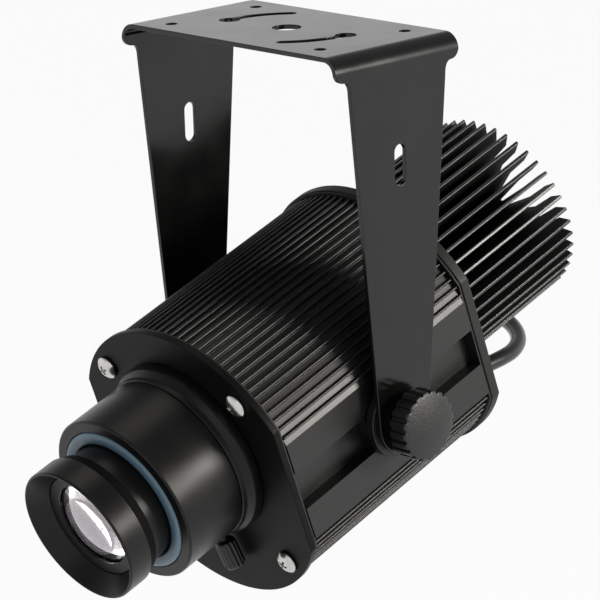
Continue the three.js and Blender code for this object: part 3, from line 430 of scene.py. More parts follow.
def slab(name, outlines, low, high, bevel, axis="y", rounds=2):
    """A plate of these outlines, the first its edge and the rest its holes, with rounded edges.

    Its thickness runs along y, with the outlines in x and z, or along z, with them in x and y.
    """
    data = bpy.data.curves.new(name, "CURVE")
    data.dimensions = "2D"
    data.fill_mode = "BOTH"
    data.extrude = (high - low) / 2 - bevel
    data.bevel_depth = bevel
    data.bevel_resolution = rounds
    data.offset = -bevel
    for outline in outlines:
        spline = data.splines.new("POLY")
        spline.points.add(len(outline) - 1)
        for point, (x, y) in zip(spline.points, outline):
            point.co = (x, y, 0, 1)
        spline.use_cyclic_u = True
    holder = placed(name, data)
    graph = bpy.context.evaluated_depsgraph_get()
    mesh = bpy.data.meshes.new_from_object(holder.evaluated_get(graph))
    bpy.data.objects.remove(holder)
    bpy.data.curves.remove(data)
    middle = (low + high) / 2
    for vertex in mesh.vertices:
        x, y, z = vertex.co
        vertex.co = (x, middle - z, y) if axis == "y" else (x, y, middle + z)
    return tidy(mesh, 1e-3)


def rounded(points, radius, closed=True, steps=3):
    """Rounds the corners of a turned profile. Points on the axis stay."""
    out = []
    count = len(points)
    for i, (r, y) in enumerate(points):
        if r < 1e-6 or (not closed and i in (0, count - 1)):
            out.append((r, y))
            continue
        here = Vector((r, y))
        before = Vector(points[i - 1]) - here
        after = Vector(points[(i + 1) % count]) - here
        if before.length < 1e-6 or after.length < 1e-6 or before.angle(after) > math.radians(165):
            out.append((r, y))
            continue
        near = here + before.normalized() * min(radius, before.length * 0.45)
        far = here + after.normalized() * min(radius, after.length * 0.45)
        out.extend(tuple(bezier(near, here, far, k / steps)) for k in range(steps + 1))
    return out


def skin(rows):
    """Faces between each ring of point numbers and the next. A ring on the axis repeats its one point."""
    faces = []
    for first, second in zip(rows, rows[1:]):
        for k in range(len(first)):
            after = (k + 1) % len(first)
            face = list(dict.fromkeys([first[k], first[after], second[after], second[k]]))
            if len(face) > 2:
                faces.append(face)
    return faces


def revolve(name, rings, steps, shape=None):
    """Rings about Y, each (radius, y, share), closed unless the first is a point on the axis.

    Shape gives the radius at an angle from a ring's radius and share.
    """
    vertices, rows = [], []
    for r, y, share in rings:
        if r < 1e-6:
            rows.append([len(vertices)] * steps)
            vertices.append((0, y, 0))
            continue
        rows.append(list(range(len(vertices), len(vertices) + steps)))
        for k in range(steps):
            angle = TAU * k / steps
            radius = shape(r, share, angle) if shape else r
            vertices.append((radius * math.sin(angle), y, radius * math.cos(angle)))
    if rings[0][0] > 1e-6:
        rows.append(rows[0])
    return mesh_of(name, vertices, skin(rows))


def lathe(name, points, steps=128, corner=0.25):
    """A turned piece about Y. Points are (radius, y). A profile that starts and ends on the axis is solid."""
    profile = rounded(points, corner, closed=points[0][0] > 1e-6)
    return revolve(name, [(r, y, 0) for r, y in profile], steps)


def crown(radius, y, height, steps):
    """Points of a spherical crown from its rim to the axis."""
    sphere = (radius * radius + height * height) / (2 * abs(height))
    points = []
    for i in range(steps + 1):
        r = radius * (1 - i / steps)
        rise = math.sqrt(sphere * sphere - r * r) - (sphere - abs(height))
        points.append((r, y + math.copysign(rise, height)))
    return points


def between(first, second, start, end, t):
    return first * ((end - t) / (end - start)) + second * ((t - start) / (end - start))


def smooth_path(points, spacing):
    """A centripetal curve through the points, in steps of about that spacing."""
    points = [Vector(p) for p in points]
    ends = [points[0] * 2 - points[1], *points, points[-1] * 2 - points[-2]]
    out = []
    for i in range(1, len(ends) - 2):
        p0, p1, p2, p3 = ends[i - 1:i + 3]
        t0 = 0.0
        t1 = (p1 - p0).length ** 0.5
        t2 = t1 + (p2 - p1).length ** 0.5
        t3 = t2 + (p3 - p2).length ** 0.5
        steps = max(1, round((p2 - p1).length / spacing))
        for k in range(steps):
            t = t1 + (t2 - t1) * k / steps
            a1, a2, a3 = between(p0, p1, t0, t1, t), between(p1, p2, t1, t2, t), between(p2, p3, t2, t3, t)
            out.append(between(between(a1, a2, t0, t2, t), between(a2, a3, t1, t3, t), t1, t2, t))
    out.append(points[-1])
    return out


def tube(name, path, radius, sides):
    """A closed tube along a path, with flat ends."""
    vertices, rows = [], []
    side = Vector((1, 0, 0))
    for i, point in enumerate(path):
        along = (path[min(i + 1, len(path) - 1)] - path[max(i - 1, 0)]).normalized()
        side = side - along * side.dot(along)
        side.normalize()
        up = along.cross(side)
        rows.append(list(range(len(vertices), len(vertices) + sides)))
        for k in range(sides):
            angle = TAU * k / sides
            vertices.append(point + (side * math.cos(angle) + up * math.sin(angle)) * radius)
    return mesh_of(name, vertices, skin(rows) + [rows[0], rows[-1]])


# Cord, first. Its route repeats the source's points, in metres.
CORD_RADIUS = 3.7
GLAND_X, GLAND_Z = 14, -48
REAR_PLATE_REAR = 61.2
GLAND_FLANGE_LENGTH, GLAND_DOME_LENGTH = 5, 20.2
DOME_FOOT = REAR_PLATE_REAR + CLEARANCE + GLAND_FLANGE_LENGTH + CLEARANCE
DOME_TOP = DOME_FOOT + GLAND_DOME_LENGTH
COIL_X, COIL_Y, COIL_Z = -0.0715, 0.070, -0.208
COIL_OUTER, COIL_PITCH, COIL_LAYER, COIL_TAIL = 0.0435, 0.008, 0.008, 0.025
COIL_LAYERS, COIL_TURNS, CLIMB_TURNS = 4, 5.5, 0.5
COIL_STEPS = 48
COIL_STRAIGHT = 2 * CORD_RADIUS * MM
COIL_TOP = COIL_Z + COIL_OUTER
cord_exit = HOUSING @ Vector((GLAND_X, DOME_TOP + CLEARANCE, GLAND_Z))
cord_heading = (HOUSING @ Vector((0, 1, 0)) - HOUSING.translation).normalized()
ROUTE = [
    (0.014, 0.11, -0.1713), (0.0138, 0.1175, -0.1706), (0.012, 0.1266, -0.17), (0.007, 0.1364, -0.1688),
    (-0.001, 0.1442, -0.167), (-0.011, 0.1492, -0.165), (-0.022, 0.151, -0.1633), (-0.0354, 0.151, -0.1616),
    (-0.0466, 0.1492, -0.1608), (-0.0566, 0.1442, -0.1603), (-0.0645, 0.1364, -0.1604),
    (-0.0695, 0.1266, -0.161), (-0.0714, 0.116, -0.1619), (COIL_X, 0.105, -0.1628), (COIL_X, 0.095, -0.1637),
    (COIL_X, COIL_Y + 2 * COIL_STRAIGHT, COIL_TOP), (COIL_X, COIL_Y + COIL_STRAIGHT, COIL_TOP),
]


def smoothstep(value, low, high):
    t = min(1.0, max(0.0, (value - low) / (high - low)))
    return t * t * (3 - 2 * t)


def coil_path():
    """The coil, which hangs from its lead. Each layer spirals in or out."""
    path = []
    count = round(COIL_TURNS * COIL_STEPS)
    per_layer = COIL_TURNS / COIL_LAYERS
    for i in range(count + 1):
        turn = i / COIL_STEPS
        phase = turn / per_layer % 2
        radius = COIL_OUTER - COIL_PITCH * per_layer * min(phase, 2 - phase)
        climbed = sum(
            smoothstep(turn, layer * per_layer - CLIMB_TURNS / 2, layer * per_layer + CLIMB_TURNS / 2)
            for layer in range(1, COIL_LAYERS)
        )
        angle = TAU / 4 + TAU * turn
        y, z = COIL_Y + radius * math.cos(angle), COIL_Z + radius * math.sin(angle)
        path.append(Vector((COIL_X - COIL_LAYER * climbed, y, z)))
    end = path[-1]
    tail = Vector((0, -math.sin(angle), math.cos(angle)))
    path.extend(end + tail * COIL_TAIL * k / 4 for k in range(1, 5))
    return path, tail


coil_points, plug_heading = coil_path()
lead_points = smooth_path([cord_exit, cord_exit + cord_heading * COIL_STRAIGHT, *ROUTE], 0.0025)
cord_points = lead_points + coil_points
cord = piece(
    "cord", tube("cord", [p / MM for p in cord_points], CORD_RADIUS, 20), ROW, "projector", "cable_jacket",
    ["cord_lead", "cord_coil"], 50, level=False)

# Plug on the coil's tail, drawn along -Z
PLUG = {"length": 31, "half": 13, "thickness": 21, "relief": 14, "relief_tip": 5, "neck": 7, "groove": 0.7}
RELIEF_RIBS = 5
# Shares of the body's length, half width and half thickness, and how square the section is
PLUG_SECTIONS = (
    (0.0, 0.62, 0.72, 2.4), (0.04, 0.72, 0.86, 2.8), (0.12, 0.78, 0.93, 3.2), (0.25, 0.8, 0.95, 3.6),
    (0.28, 0.78, 0.92, 3.6), (0.31, 0.82, 0.95, 3.6), (0.36, 0.83, 0.95, 3.6), (0.39, 0.81, 0.92, 3.6),
    (0.42, 0.86, 0.95, 3.8), (0.47, 0.88, 0.95, 3.8), (0.50, 0.85, 0.92, 3.8), (0.53, 0.91, 0.95, 4.0),
    (0.72, 0.99, 0.97, 4.4), (0.94, 0.99, 0.97, 4.8), (0.985, 0.97, 0.95, 4.8), (1.0, 0.93, 0.9, 4.8),
)
plug_turn = Vector((0, 0, -1)).rotation_difference(plug_heading).to_matrix().to_4x4()
PLUG_FRAME = Matrix.Translation(coil_points[-1]) @ plug_turn @ ROW


def plug_mesh():
    """A moulded plug: rounded body with grip ribs, and a ribbed strain relief."""
    top = -CLEARANCE - PLUG["relief"]
    foot = top - PLUG["length"]
    sides, rings = 48, []

    def section(z, half_y, half_x, power):
        def bulge(share):
            return math.copysign(abs(share) ** (2 / power), share)

        turns = [TAU * k / sides for k in range(sides)]
        return [(bulge(math.cos(turn)) * half_x, bulge(math.sin(turn)) * half_y, z) for turn in turns]

    for i in range(RELIEF_RIBS * 4 + 1):
        share = i / (RELIEF_RIBS * 4)
        radius = PLUG["relief_tip"] + (PLUG["neck"] - PLUG["relief_tip"]) * share
        radius -= PLUG["groove"] if i % 4 in (2, 3) and share < 1 else 0
        rings.append(section(-CLEARANCE - share * PLUG["relief"], radius, radius, 2))
    for share, wide, deep, power in PLUG_SECTIONS:
        half_thickness = PLUG["thickness"] / 2 * deep
        rings.append(section(top + (foot - top) * share, PLUG["half"] * wide, half_thickness, power))
    rows = [list(range(i * sides, (i + 1) * sides)) for i in range(len(rings))]
    return mesh_of("plug", [p for ring in rings for p in ring], skin(rows) + [rows[0], rows[-1]])


plug = piece("plug", plug_mesh(), PLUG_FRAME, "projector", "cable_jacket", ["plug_body"], 35, level=False)

# Strap round the coil
TIE = {"width": 14, "thickness": 1.5, "corner": 3.2, "gap": 0.5, "angle": 1.85}


def tie_mesh():
    inner_turn = COIL_OUTER / MM - COIL_PITCH / MM * COIL_TURNS / COIL_LAYERS
    half = TIE["width"] / 2
    inner = math.sqrt((inner_turn - CORD_RADIUS) ** 2 - half ** 2) - TIE["gap"]
    outer = COIL_OUTER / MM + CORD_RADIUS + TIE["gap"]
    near = CORD_RADIUS + TIE["gap"]
    far = -COIL_LAYER / MM * (COIL_LAYERS - 1) - near

    def loop(grow, corner):
        x0, x1 = far - grow + corner, near + grow - corner
        y0, y1 = inner - grow + corner, outer + grow - corner
        points = []
        for i, (x, y) in enumerate(((x1, y1), (x0, y1), (x0, y0), (x1, y0))):
            points += arc(x, y, corner, TAU / 4 * i, TAU / 4 * (i + 1), 6)
        return points

    loops = [loop(TIE["thickness"], TIE["corner"]), loop(0, TIE["corner"] - TIE["thickness"])]
    return slab("cord_strap", loops, -half, half, 0.3, axis="z")


TIE_FRAME = Matrix.Translation((COIL_X, COIL_Y, COIL_Z)) @ Matrix.Rotation(TIE["angle"], 4, "X") @ ROW
strap = piece("cord_strap", tie_mesh(), TIE_FRAME, "projector", "gasket_rubber", ["cord_tie"])

# Yoke: a flat pattern with its holes, cut into strips where it bends, then folded
YOKE_HALF, YOKE_SHEET, BEND = 65, 2, 7
YOKE_DEPTH_HALF = 36
EAR_DROP, EAR_RADIUS = 10.5, 4.5
ARM_SHOULDER, SHOULDER_DROP, ARM_FOOT = 27.8, 16.5, 14.7
BEND_START = YOKE_HALF - BEND
BEND_END = BEND_START + BEND * TAU / 4
BEND_STRIPS = 14
CENTRE_HOLE, SMALL_HOLE, SMALL_HOLE_X, SMALL_HOLE_Y = 6.2, 2.5, 45, 24.7
ARM_SLOT_DROP, ARM_SLOT_HALF_WIDTH, ARM_SLOT_HALF = 49.5, 3.15, 8.75
ARC_SLOT = {"radius": 32, "half": 2.6, "key": 4.5, "key_at": 0.1, "tail_at": -0.82}


def unfold(drop):
    """Distance along the flat pattern from the middle, at a drop below the plate's top."""
    if drop >= BEND:
        return BEND_END + drop - BEND
    return BEND_START + BEND * math.acos((BEND - drop) / BEND)


def yoke_outline():
    corner = YOKE_DEPTH_HALF - EAR_RADIUS
    side = arc(corner, EAR_DROP - EAR_RADIUS, EAR_RADIUS, 0, TAU / 4, 12)
    points = (corner, EAR_DROP), (ARM_SHOULDER, EAR_DROP), (ARM_SHOULDER, SHOULDER_DROP)
    start, middle, end = (Vector(p) for p in points)
    side += [tuple(bezier(start, middle, end, k / 12)) for k in range(1, 13)]
    side += arc(0, PIVOT_DROP, ARM_FOOT, 0, TAU / 4, 20)
    quarter = [(unfold(drop), y) for y, drop in side]
    right = quarter + [(u, -y) for u, y in reversed(quarter[:-1])]
    return right + [(-u, -y) for u, y in right]


def slot_loop(x, y, half_width, half_length, steps=14):
    """A slot along the first axis."""
    reach = half_length - half_width
    right = arc(x + reach, y, half_width, -TAU / 4, TAU / 4, steps)
    return right + arc(x - reach, y, half_width, TAU / 4, TAU * 3 / 4, steps)


def arc_slot_loop(turn):
    """An arc slot with a keyhole end."""
    radius, half, key = ARC_SLOT["radius"], ARC_SLOT["half"], ARC_SLOT["key"]
    key_at, tail = turn + ARC_SLOT["key_at"], turn + ARC_SLOT["tail_at"]
    (kx, ky), (tx, ty) = polar(radius, key_at), polar(radius, tail)

    def meeting(edge):
        """The angle on the plate at which an edge of the slot meets the keyhole."""
        return key_at - math.acos((edge * edge + radius * radius - key * key) / (2 * edge * radius))

    outer, inner = meeting(radius + half), meeting(radius - half)
    (ox, oy), (ix, iy) = polar(radius + half, outer), polar(radius - half, inner)
    first = math.atan2(oy - ky, ox - kx)
    last = math.atan2(iy - ky, ix - kx)
    while last < first:
        last += TAU
    return (
        arc(tx, ty, half, tail - TAU / 2, tail, 12) + arc(0, 0, radius + half, tail, outer, 24)[1:]
        + arc(kx, ky, key, first, last, 28)[1:] + arc(0, 0, radius - half, inner, tail, 24)[1:-1]
    )


def fold(mesh):
    """Folds the flat pattern, which lies with its top face at z 0, into the yoke."""
    work = bmesh.new()
    work.from_mesh(mesh)
    for side in (-1, 1):
        for i in range(BEND_STRIPS + 1):
            u = side * (BEND_START + (BEND_END - BEND_START) * i / BEND_STRIPS)
            everything = work.verts[:] + work.edges[:] + work.faces[:]
            bmesh.ops.bisect_plane(work, geom=everything, plane_co=(u, 0, 0), plane_no=(1, 0, 0), dist=1e-4)
    for vertex in work.verts:
        u, y, z = vertex.co
        side, u, depth = math.copysign(1, u), abs(u), -z
        if u <= BEND_START:
            continue
        if u >= BEND_END:
            vertex.co = (side * (YOKE_HALF - depth), y, -BEND - (u - BEND_END))
        else:
            angle = (u - BEND_START) / BEND
            radius = BEND - depth
            vertex.co = (side * (BEND_START + radius * math.sin(angle)), y, -BEND + radius * math.cos(angle))
    work.to_mesh(mesh)
    work.free()
    return mesh


def yoke_mesh():
    loops = [yoke_outline(), ring_points(CENTRE_HOLE, steps=48), arc_slot_loop(0), arc_slot_loop(TAU / 2)]
    for x in (-SMALL_HOLE_X, SMALL_HOLE_X):
        for y in (-SMALL_HOLE_Y, SMALL_HOLE_Y):
            loops.append(ring_points(SMALL_HOLE, x, y, 28))
    for side in (-1, 1):
        loops.append(slot_loop(side * unfold(ARM_SLOT_DROP), 0, ARM_SLOT_HALF_WIDTH, ARM_SLOT_HALF))
        loops.append(ring_points(STUD_HOLE, side * unfold(PIVOT_DROP), 0, 28))
    return fold(slab("yoke", loops, -YOKE_SHEET, 0, 0.3, axis="z"))


piece("yoke", yoke_mesh(), ROW, "yoke", "yoke_paint", ["yoke_bracket"], 45)

# Housing
HOUSING_RADIUS, RIB_DEPTH, RIB_PITCH, RIB_SHARE = 63.5, 1.7, 0.0646, 0.32
RIBS_BELOW, RIBS_ABOVE = 17, 18
RIB_FILLET = 0.3
CRISP = 0.25
HOUSING_FLAT, CHANNEL_FLOOR, CHANNEL_HALF = 58, 52, 8.85
HOUSING_FRONT, HOUSING_REAR = -58.2, 55
HOUSING_INNER, INNER_FLAT = 57.5, 48.3
SCREW_AT = 56.5 * math.cos(TAU / 8)
SCREW_PLACES = [(-SCREW_AT, SCREW_AT), (SCREW_AT, SCREW_AT), (-SCREW_AT, -SCREW_AT), (SCREW_AT, -SCREW_AT)]
SCREW_HOLE = 2.7


def rib_points():
    """Points across a rib, as (sideways, radius): fillets at its foot and a round crest."""
    root, half = HOUSING_RADIUS - RIB_DEPTH, HOUSING_RADIUS * RIB_PITCH * RIB_SHARE / 2
    flank = half + RIB_FILLET
    right = arc(flank, root + RIB_FILLET, RIB_FILLET, TAU / 2, 3 * TAU / 4, 3)
    crest = arc(0, HOUSING_RADIUS - half, half, TAU / 2, 0, 8)
    return [(-u, r) for u, r in reversed(right)] + crest + right


def housing_outline():
    root, half = HOUSING_RADIUS - RIB_DEPTH, RIB_PITCH * RIB_SHARE / 2
    top = TAU / 4
    across = rib_points()
    middle = len(across) // 2

    def rib(angle, way=1, start=0):
        """A rib's points in the order of a growing angle."""
        return [polar(r, angle + way * u / HOUSING_RADIUS) for u, r in across[start:]]

    points = rib(-top, start=middle)
    for i in range(1, RIBS_BELOW + 1):
        points += rib(-top + i * RIB_PITCH)
    flat_edge = math.acos(HOUSING_FLAT / HOUSING_RADIUS)
    high, low = CHANNEL_HALF - HOUSING_RISE, -CHANNEL_HALF - HOUSING_RISE
    points += [polar(root, -flat_edge - half), polar(HOUSING_RADIUS, -flat_edge)]
    points += [(HOUSING_FLAT, low), (CHANNEL_FLOOR, low), (CHANNEL_FLOOR, high), (HOUSING_FLAT, high)]
    # Close points on each side keep the corner between the flat and the first valley crisp
    strip = math.acos(HOUSING_FLAT / root)
    points += [(HOUSING_FLAT, root * math.sin(strip) - CRISP), polar(root, strip)]
    points.append(polar(root, strip + CRISP / root))
    for i in range(RIBS_ABOVE, 0, -1):
        points += rib(top - i * RIB_PITCH)
    points += list(reversed(rib(top, way=-1, start=middle)))
    return points + [(-x, z) for x, z in reversed(points[1:-1])]


def flat_circle(radius, flat, steps=160):
    """A circle with a flat on each side."""
    points = []
    for corner in (math.acos(flat / radius), math.acos(flat / radius) + TAU / 2):
        points += arc(0, 0, radius, corner, corner + TAU / 2 - 2 * math.acos(flat / radius), steps // 2)
    return points


housing_loops = [housing_outline(), flat_circle(HOUSING_INNER, INNER_FLAT, 96)]
housing = slab("housing", housing_loops, HOUSING_FRONT, HOUSING_REAR, 0.14, rounds=1)
piece("housing_shell", housing, HOUSING, "projector", "anodised_black", ["housing"], 35)

# End plates and gaskets
PLATE_RADIUS, PLATE_FLAT, GASKET_INSET = 65, 58, 0.5
FRONT_PLATE, FRONT_GASKET = (-62.6, -59.6), (-59.3, -58.5)
REAR_PLATE, REAR_GASKET = (56.4, REAR_PLATE_REAR), (55.3, 56.1)
SPIGOT_HOLE, GASKET_BORE = 33.9, 52.3
PEDESTAL_HOLE, GLAND_HOLE, SINK_SCREW_CIRCLE = 21.3, 6.9, 31
sink_places = [
    (SINK_SCREW_CIRCLE * math.cos(a), SINK_SCREW_CIRCLE * math.sin(a) + OPTICS_RISE)
    for a in (TAU / 4, TAU / 4 + TAU / 3, TAU / 4 - TAU / 3)
]
plate_edge = flat_circle(PLATE_RADIUS, PLATE_FLAT)
gasket_edge = flat_circle(PLATE_RADIUS - GASKET_INSET, PLATE_FLAT - GASKET_INSET)
gasket_bore = flat_circle(GASKET_BORE, INNER_FLAT, 96)
screw_loops = [ring_points(SCREW_HOLE, x, z, 24) for x, z in SCREW_PLACES]
gland_loop = ring_points(GLAND_HOLE, GLAND_X, GLAND_Z, 32)
# Each is a piece with its outlines, its extent, the rounding of its edges, its finish and its node
for name, loops, extent, edge, finish, node in (
    ("plate_front", [plate_edge, ring_points(SPIGOT_HOLE, 0, OPTICS_RISE, 96), *screw_loops],
     FRONT_PLATE, 0.35, "plate_paint", "front_plate"),
    ("plate_rear", [plate_edge, ring_points(PEDESTAL_HOLE, 0, OPTICS_RISE, 64), gland_loop,
                    *[ring_points(SCREW_HOLE, x, z, 24) for x, z in sink_places], *screw_loops],
     REAR_PLATE, 0.45, "rear_paint", "rear_plate"),
    ("gasket_front", [gasket_edge, gasket_bore, *screw_loops],
     FRONT_GASKET, 0.1, "gasket_rubber", "front_gasket"),
    ("gasket_rear", [gasket_edge, gasket_bore, gland_loop, *screw_loops],
     REAR_GASKET, 0.1, "gasket_rubber", "rear_gasket"),
):
    piece(name, slab(name, loops, *extent, edge), HOUSING, "projector", finish, [node])

# Pan-head screws with a cross recess
SCREW = {
    "shank": 2.4, "head": 5.2, "height": 3.2, "length": 15, "slot": 0.62, "reach": 2.7, "depth": 2.0,
    "turn": 0.35,
}


def boolean_cut(mesh, cutter):
    """The first mesh less the second."""
    first, second = placed("first", mesh), placed("second", cutter)
    carve = first.modifiers.new("cut", "BOOLEAN")
    carve.operation = "DIFFERENCE"
    carve.solver = "EXACT"
    carve.object = second
    graph = bpy.context.evaluated_depsgraph_get()
    out = bpy.data.meshes.new_from_object(first.evaluated_get(graph))
    bpy.data.objects.remove(first)
    bpy.data.objects.remove(second)
    return out


def wedge(long, wide, low, high):
    """A blade that narrows and shortens towards its tip, to cut one bar of a cross recess."""
    vertices = []
    for y, reach, half in ((low, long * 0.5, wide * 0.8), (high, long, wide)):
        vertices += [(x * reach, y, z * half) for x, z in CORNERS]
    return mesh_of("wedge", vertices, [
        (0, 1, 2, 3), (7, 6, 5, 4), (0, 4, 5, 1), (1, 5, 6, 2), (2, 6, 7, 3), (3, 7, 4, 0)])


def screw_mesh():
    flank = SCREW["height"] * 0.3
    length, shank, head = SCREW["length"], SCREW["shank"], SCREW["head"]
    dome = crown(head, flank, SCREW["height"] - flank, 10)
    blank = lathe("screw", [(0, -length), (shank, -length), (shank, 0), (head, 0), *dome], 64, 0.2)
    tidy(blank)
    for turn in (SCREW["turn"], SCREW["turn"] + TAU / 4):
        bar = wedge(SCREW["reach"], SCREW["slot"], SCREW["height"] - SCREW["depth"], SCREW["height"] + 1)
        tidy(bar)
        bar.transform(Matrix.Rotation(turn, 4, "Y"))
        blank = boolean_cut(blank, bar)
    return blank


screw_blank = screw_mesh()
SCREW_SEATS = (("front", FRONT_PLATE[0] - CLEARANCE, TAU / 2), ("rear", REAR_PLATE[1] + CLEARANCE, 0))
for i, (x, z) in enumerate(SCREW_PLACES):
    for end, seat, turn in SCREW_SEATS:
        spin = Matrix.Rotation(1.3 * i + turn, 4, "Y")
        matrix = HOUSING @ Matrix.Translation((x, seat, z)) @ Matrix.Rotation(turn, 4, "X") @ spin
        node = f"{end}_screw_{i + 1}"
        piece(f"screw_{end}_{i + 1}", screw_blank.copy(), matrix, "projector", "stainless", [node], 35)

# Pivot hardware and knobs, drawn along +Y from the housing's middle
WASHER = {"inner": 58.5, "outer": 62.7, "radius": 17}
KNOB = {
    "radius": 15, "grooves": 20, "depth": 0.9, "share": 0.42, "shoulder": 0.05, "hub": 9, "skirt": 70,
    "face": 80.5, "dome": 1.6, "bore": 10,
}


def knob_radius(angle):
    """Outer radius of the grip: square grooves with rounded shoulders."""
    phase = (angle / TAU * KNOB["grooves"]) % 1
    start, width = 1 - KNOB["share"], KNOB["shoulder"]
    inside = smoothstep(phase, start - width, start + width) - smoothstep(phase, 1 - width, 1)
    return KNOB["radius"] - KNOB["depth"] * inside


def knob_mesh():
    core, hub, skirt, dome = KNOB["radius"] - KNOB["depth"], KNOB["hub"], KNOB["skirt"], KNOB["dome"]
    foot, shoulder = YOKE_HALF + CLEARANCE, KNOB["face"] - dome
    bore = foot + KNOB["bore"]
    # Each ring is (radius, y, share of the grooves)
    rings = [
        (0, bore, 0), (STUD_HOLE, bore, 0), (STUD_HOLE, foot, 0), (hub - 0.4, foot, 0), (hub, foot + 0.4, 0),
        (hub, skirt, 0), (core - 1.4, skirt, 0), (core - 0.5, skirt, 1), (core - 0.1, skirt + 0.15, 1),
        (core, skirt + 0.5, 1), (core, shoulder - 0.9, 1), (core, shoulder - 0.5, 0.95),
        (core, shoulder - 0.2, 0.8),
    ]
    sphere = (core * core + dome * dome) / (2 * dome)
    for k in range(1, 19):
        r = core * (1 - (k / 18) ** 1.15)
        rise = math.sqrt(sphere * sphere - r * r) - (sphere - dome)
        rings.append((r, shoulder + rise, max(0.0, 0.45 - 0.3 * k)))
    return revolve(
        "knob", rings, KNOB["grooves"] * 16, lambda r, share, angle: r + (knob_radius(angle) - core) * share)


knob_blank = knob_mesh()
washer_profile = [
    (STUD_HOLE, WASHER["inner"]), (WASHER["radius"], WASHER["inner"]), (WASHER["radius"], WASHER["outer"]),
    (STUD_HOLE, WASHER["outer"]),
]
for side, matrix in SIDES.items():
    piece(f"grip_{side}", knob_blank.copy(), matrix, f"knob_{side}", "black_plastic", [f"knob_{side}"], 50)
    piece(f"washer_{side}", lathe("washer", washer_profile, 96, 0.4), matrix, "projector", "black_plastic",
          [f"pivot_spacer_{side}"])

# Lens group, each piece turned about the optical axis. The front has the lowest y
COLLAR_REAR, COLLAR_FRONT, SPIGOT_REAR = -62.9, -72.7, -55.3
BARREL_REAR, BARREL_FACE = -73.0, -103.9
RING_FACE, RING_FOOT, RING_SEAT = BARREL_FACE - 1.1, BARREL_FACE + 4.2, -99.4
LENS_FRONT, LENS_REAR, LENS_SIGHT, LENS_RADIUS = -121.1, -116.6, 18.8, 21.6
LENS_STOP, TUBE_BORE, STOP_REAR, TUBE_REAR = 19.1, 21.9, -90.8, -82
RETAINER_FRONT, HOOD_FACE, HOOD_FLOOR, HOOD_FOOT, HOOD_RADIUS = -122.8, -130.9, -121.4, -118.4, 30.9
step = COLLAR_REAR - 2.6
lens_group = (
    ("collar", "lens_collar", "projector", "turned_black", 192, 0.5, 35, [
        (36.2, step), (36.2, COLLAR_FRONT), (38.8, COLLAR_FRONT), (39.1, COLLAR_FRONT + 2.6),
        (40.9, COLLAR_FRONT + 5.2), (41.2, step), (41.2, COLLAR_REAR), (33.6, COLLAR_REAR),
        (33.6, SPIGOT_REAR), (31.6, SPIGOT_REAR), (31.6, step)]),
    ("barrel_shell", "lens_barrel", "barrel", "turned_black", 192, 0.3, 35, [
        (33.3, BARREL_FACE), (37.8, BARREL_FACE), (38.5, BARREL_FACE + 0.7), (38.5, BARREL_REAR),
        (35.9, BARREL_REAR), (35.9, -66.0), (31, -66.0), (31, -93.4), (27.7, -93.4), (27.7, RING_SEAT),
        (33.3, RING_SEAT)]),
    ("soft_ring", "seal_ring", "barrel", "blue_silicone", 192, 0.3, 60, [
        (27.6, RING_FACE + 1.1), (28.2, RING_FACE + 0.35), (29.6, RING_FACE), (31.2, RING_FACE),
        (32.5, RING_FACE + 0.35), (33.0, RING_FACE + 1.1), (33.0, RING_FOOT), (27.6, RING_FOOT)]),
    ("focus_barrel", "focus_tube", "focus", "focus_black", 192, 0.25, 35, [
        (TUBE_BORE, LENS_FRONT), (26.4, LENS_FRONT), (26.4, -118.1), (29.3, -118.1), (29.3, -114.5),
        (27.3, -114.5), (27.3, TUBE_REAR), (TUBE_BORE, TUBE_REAR), (TUBE_BORE, STOP_REAR),
        (LENS_STOP, STOP_REAR), (LENS_STOP, LENS_REAR + CLEARANCE), (TUBE_BORE, LENS_REAR + CLEARANCE)]),
    ("hood_shell", "lens_hood", "focus", "turned_black", 192, 0.25, 35, [
        (29.9, HOOD_FACE), (24.1, RETAINER_FRONT), (24.1, HOOD_FLOOR), (26.7, HOOD_FLOOR), (26.7, HOOD_FOOT),
        (HOOD_RADIUS - 0.8, HOOD_FOOT), (HOOD_RADIUS, HOOD_FOOT - 0.8), (HOOD_RADIUS, HOOD_FACE + 0.8),
        (HOOD_RADIUS - 0.4, HOOD_FACE)]),
    ("lens_ring", "lens_retainer", "focus", "turned_black", 160, 0.3, 35, [
        (LENS_STOP, RETAINER_FRONT), (23.8, RETAINER_FRONT), (23.8, HOOD_FLOOR), (LENS_STOP, HOOD_FLOOR)]),
    ("objective", "front_lens", "focus", "lens_glass", 160, 0.15, 30, [
        *reversed(crown(LENS_SIGHT, LENS_FRONT, -4.6, 16)), (LENS_RADIUS, LENS_FRONT),
        (LENS_RADIUS, LENS_REAR), *crown(LENS_SIGHT, LENS_REAR, 3.2, 10)]),
)
for name, node, body, finish, steps, corner, smooth, profile in lens_group:
    piece(name, lathe(name, profile, steps, corner), OPTICS, body, finish, [node], smooth)

# Heat sink: fins with rounded edges round a core, on a base
SINK = {
    "fins": 44, "radius": 44.7, "core": 17, "thickness": 1.7, "front": 61.5, "rear": 141.4, "base": 39.8,
    "base_thickness": 4.5, "pedestal": 21, "pedestal_front": 56.7, "recess": 38.2, "recess_floor": 35.7,
    "recess_depth": 8.5, "root": 2,
}


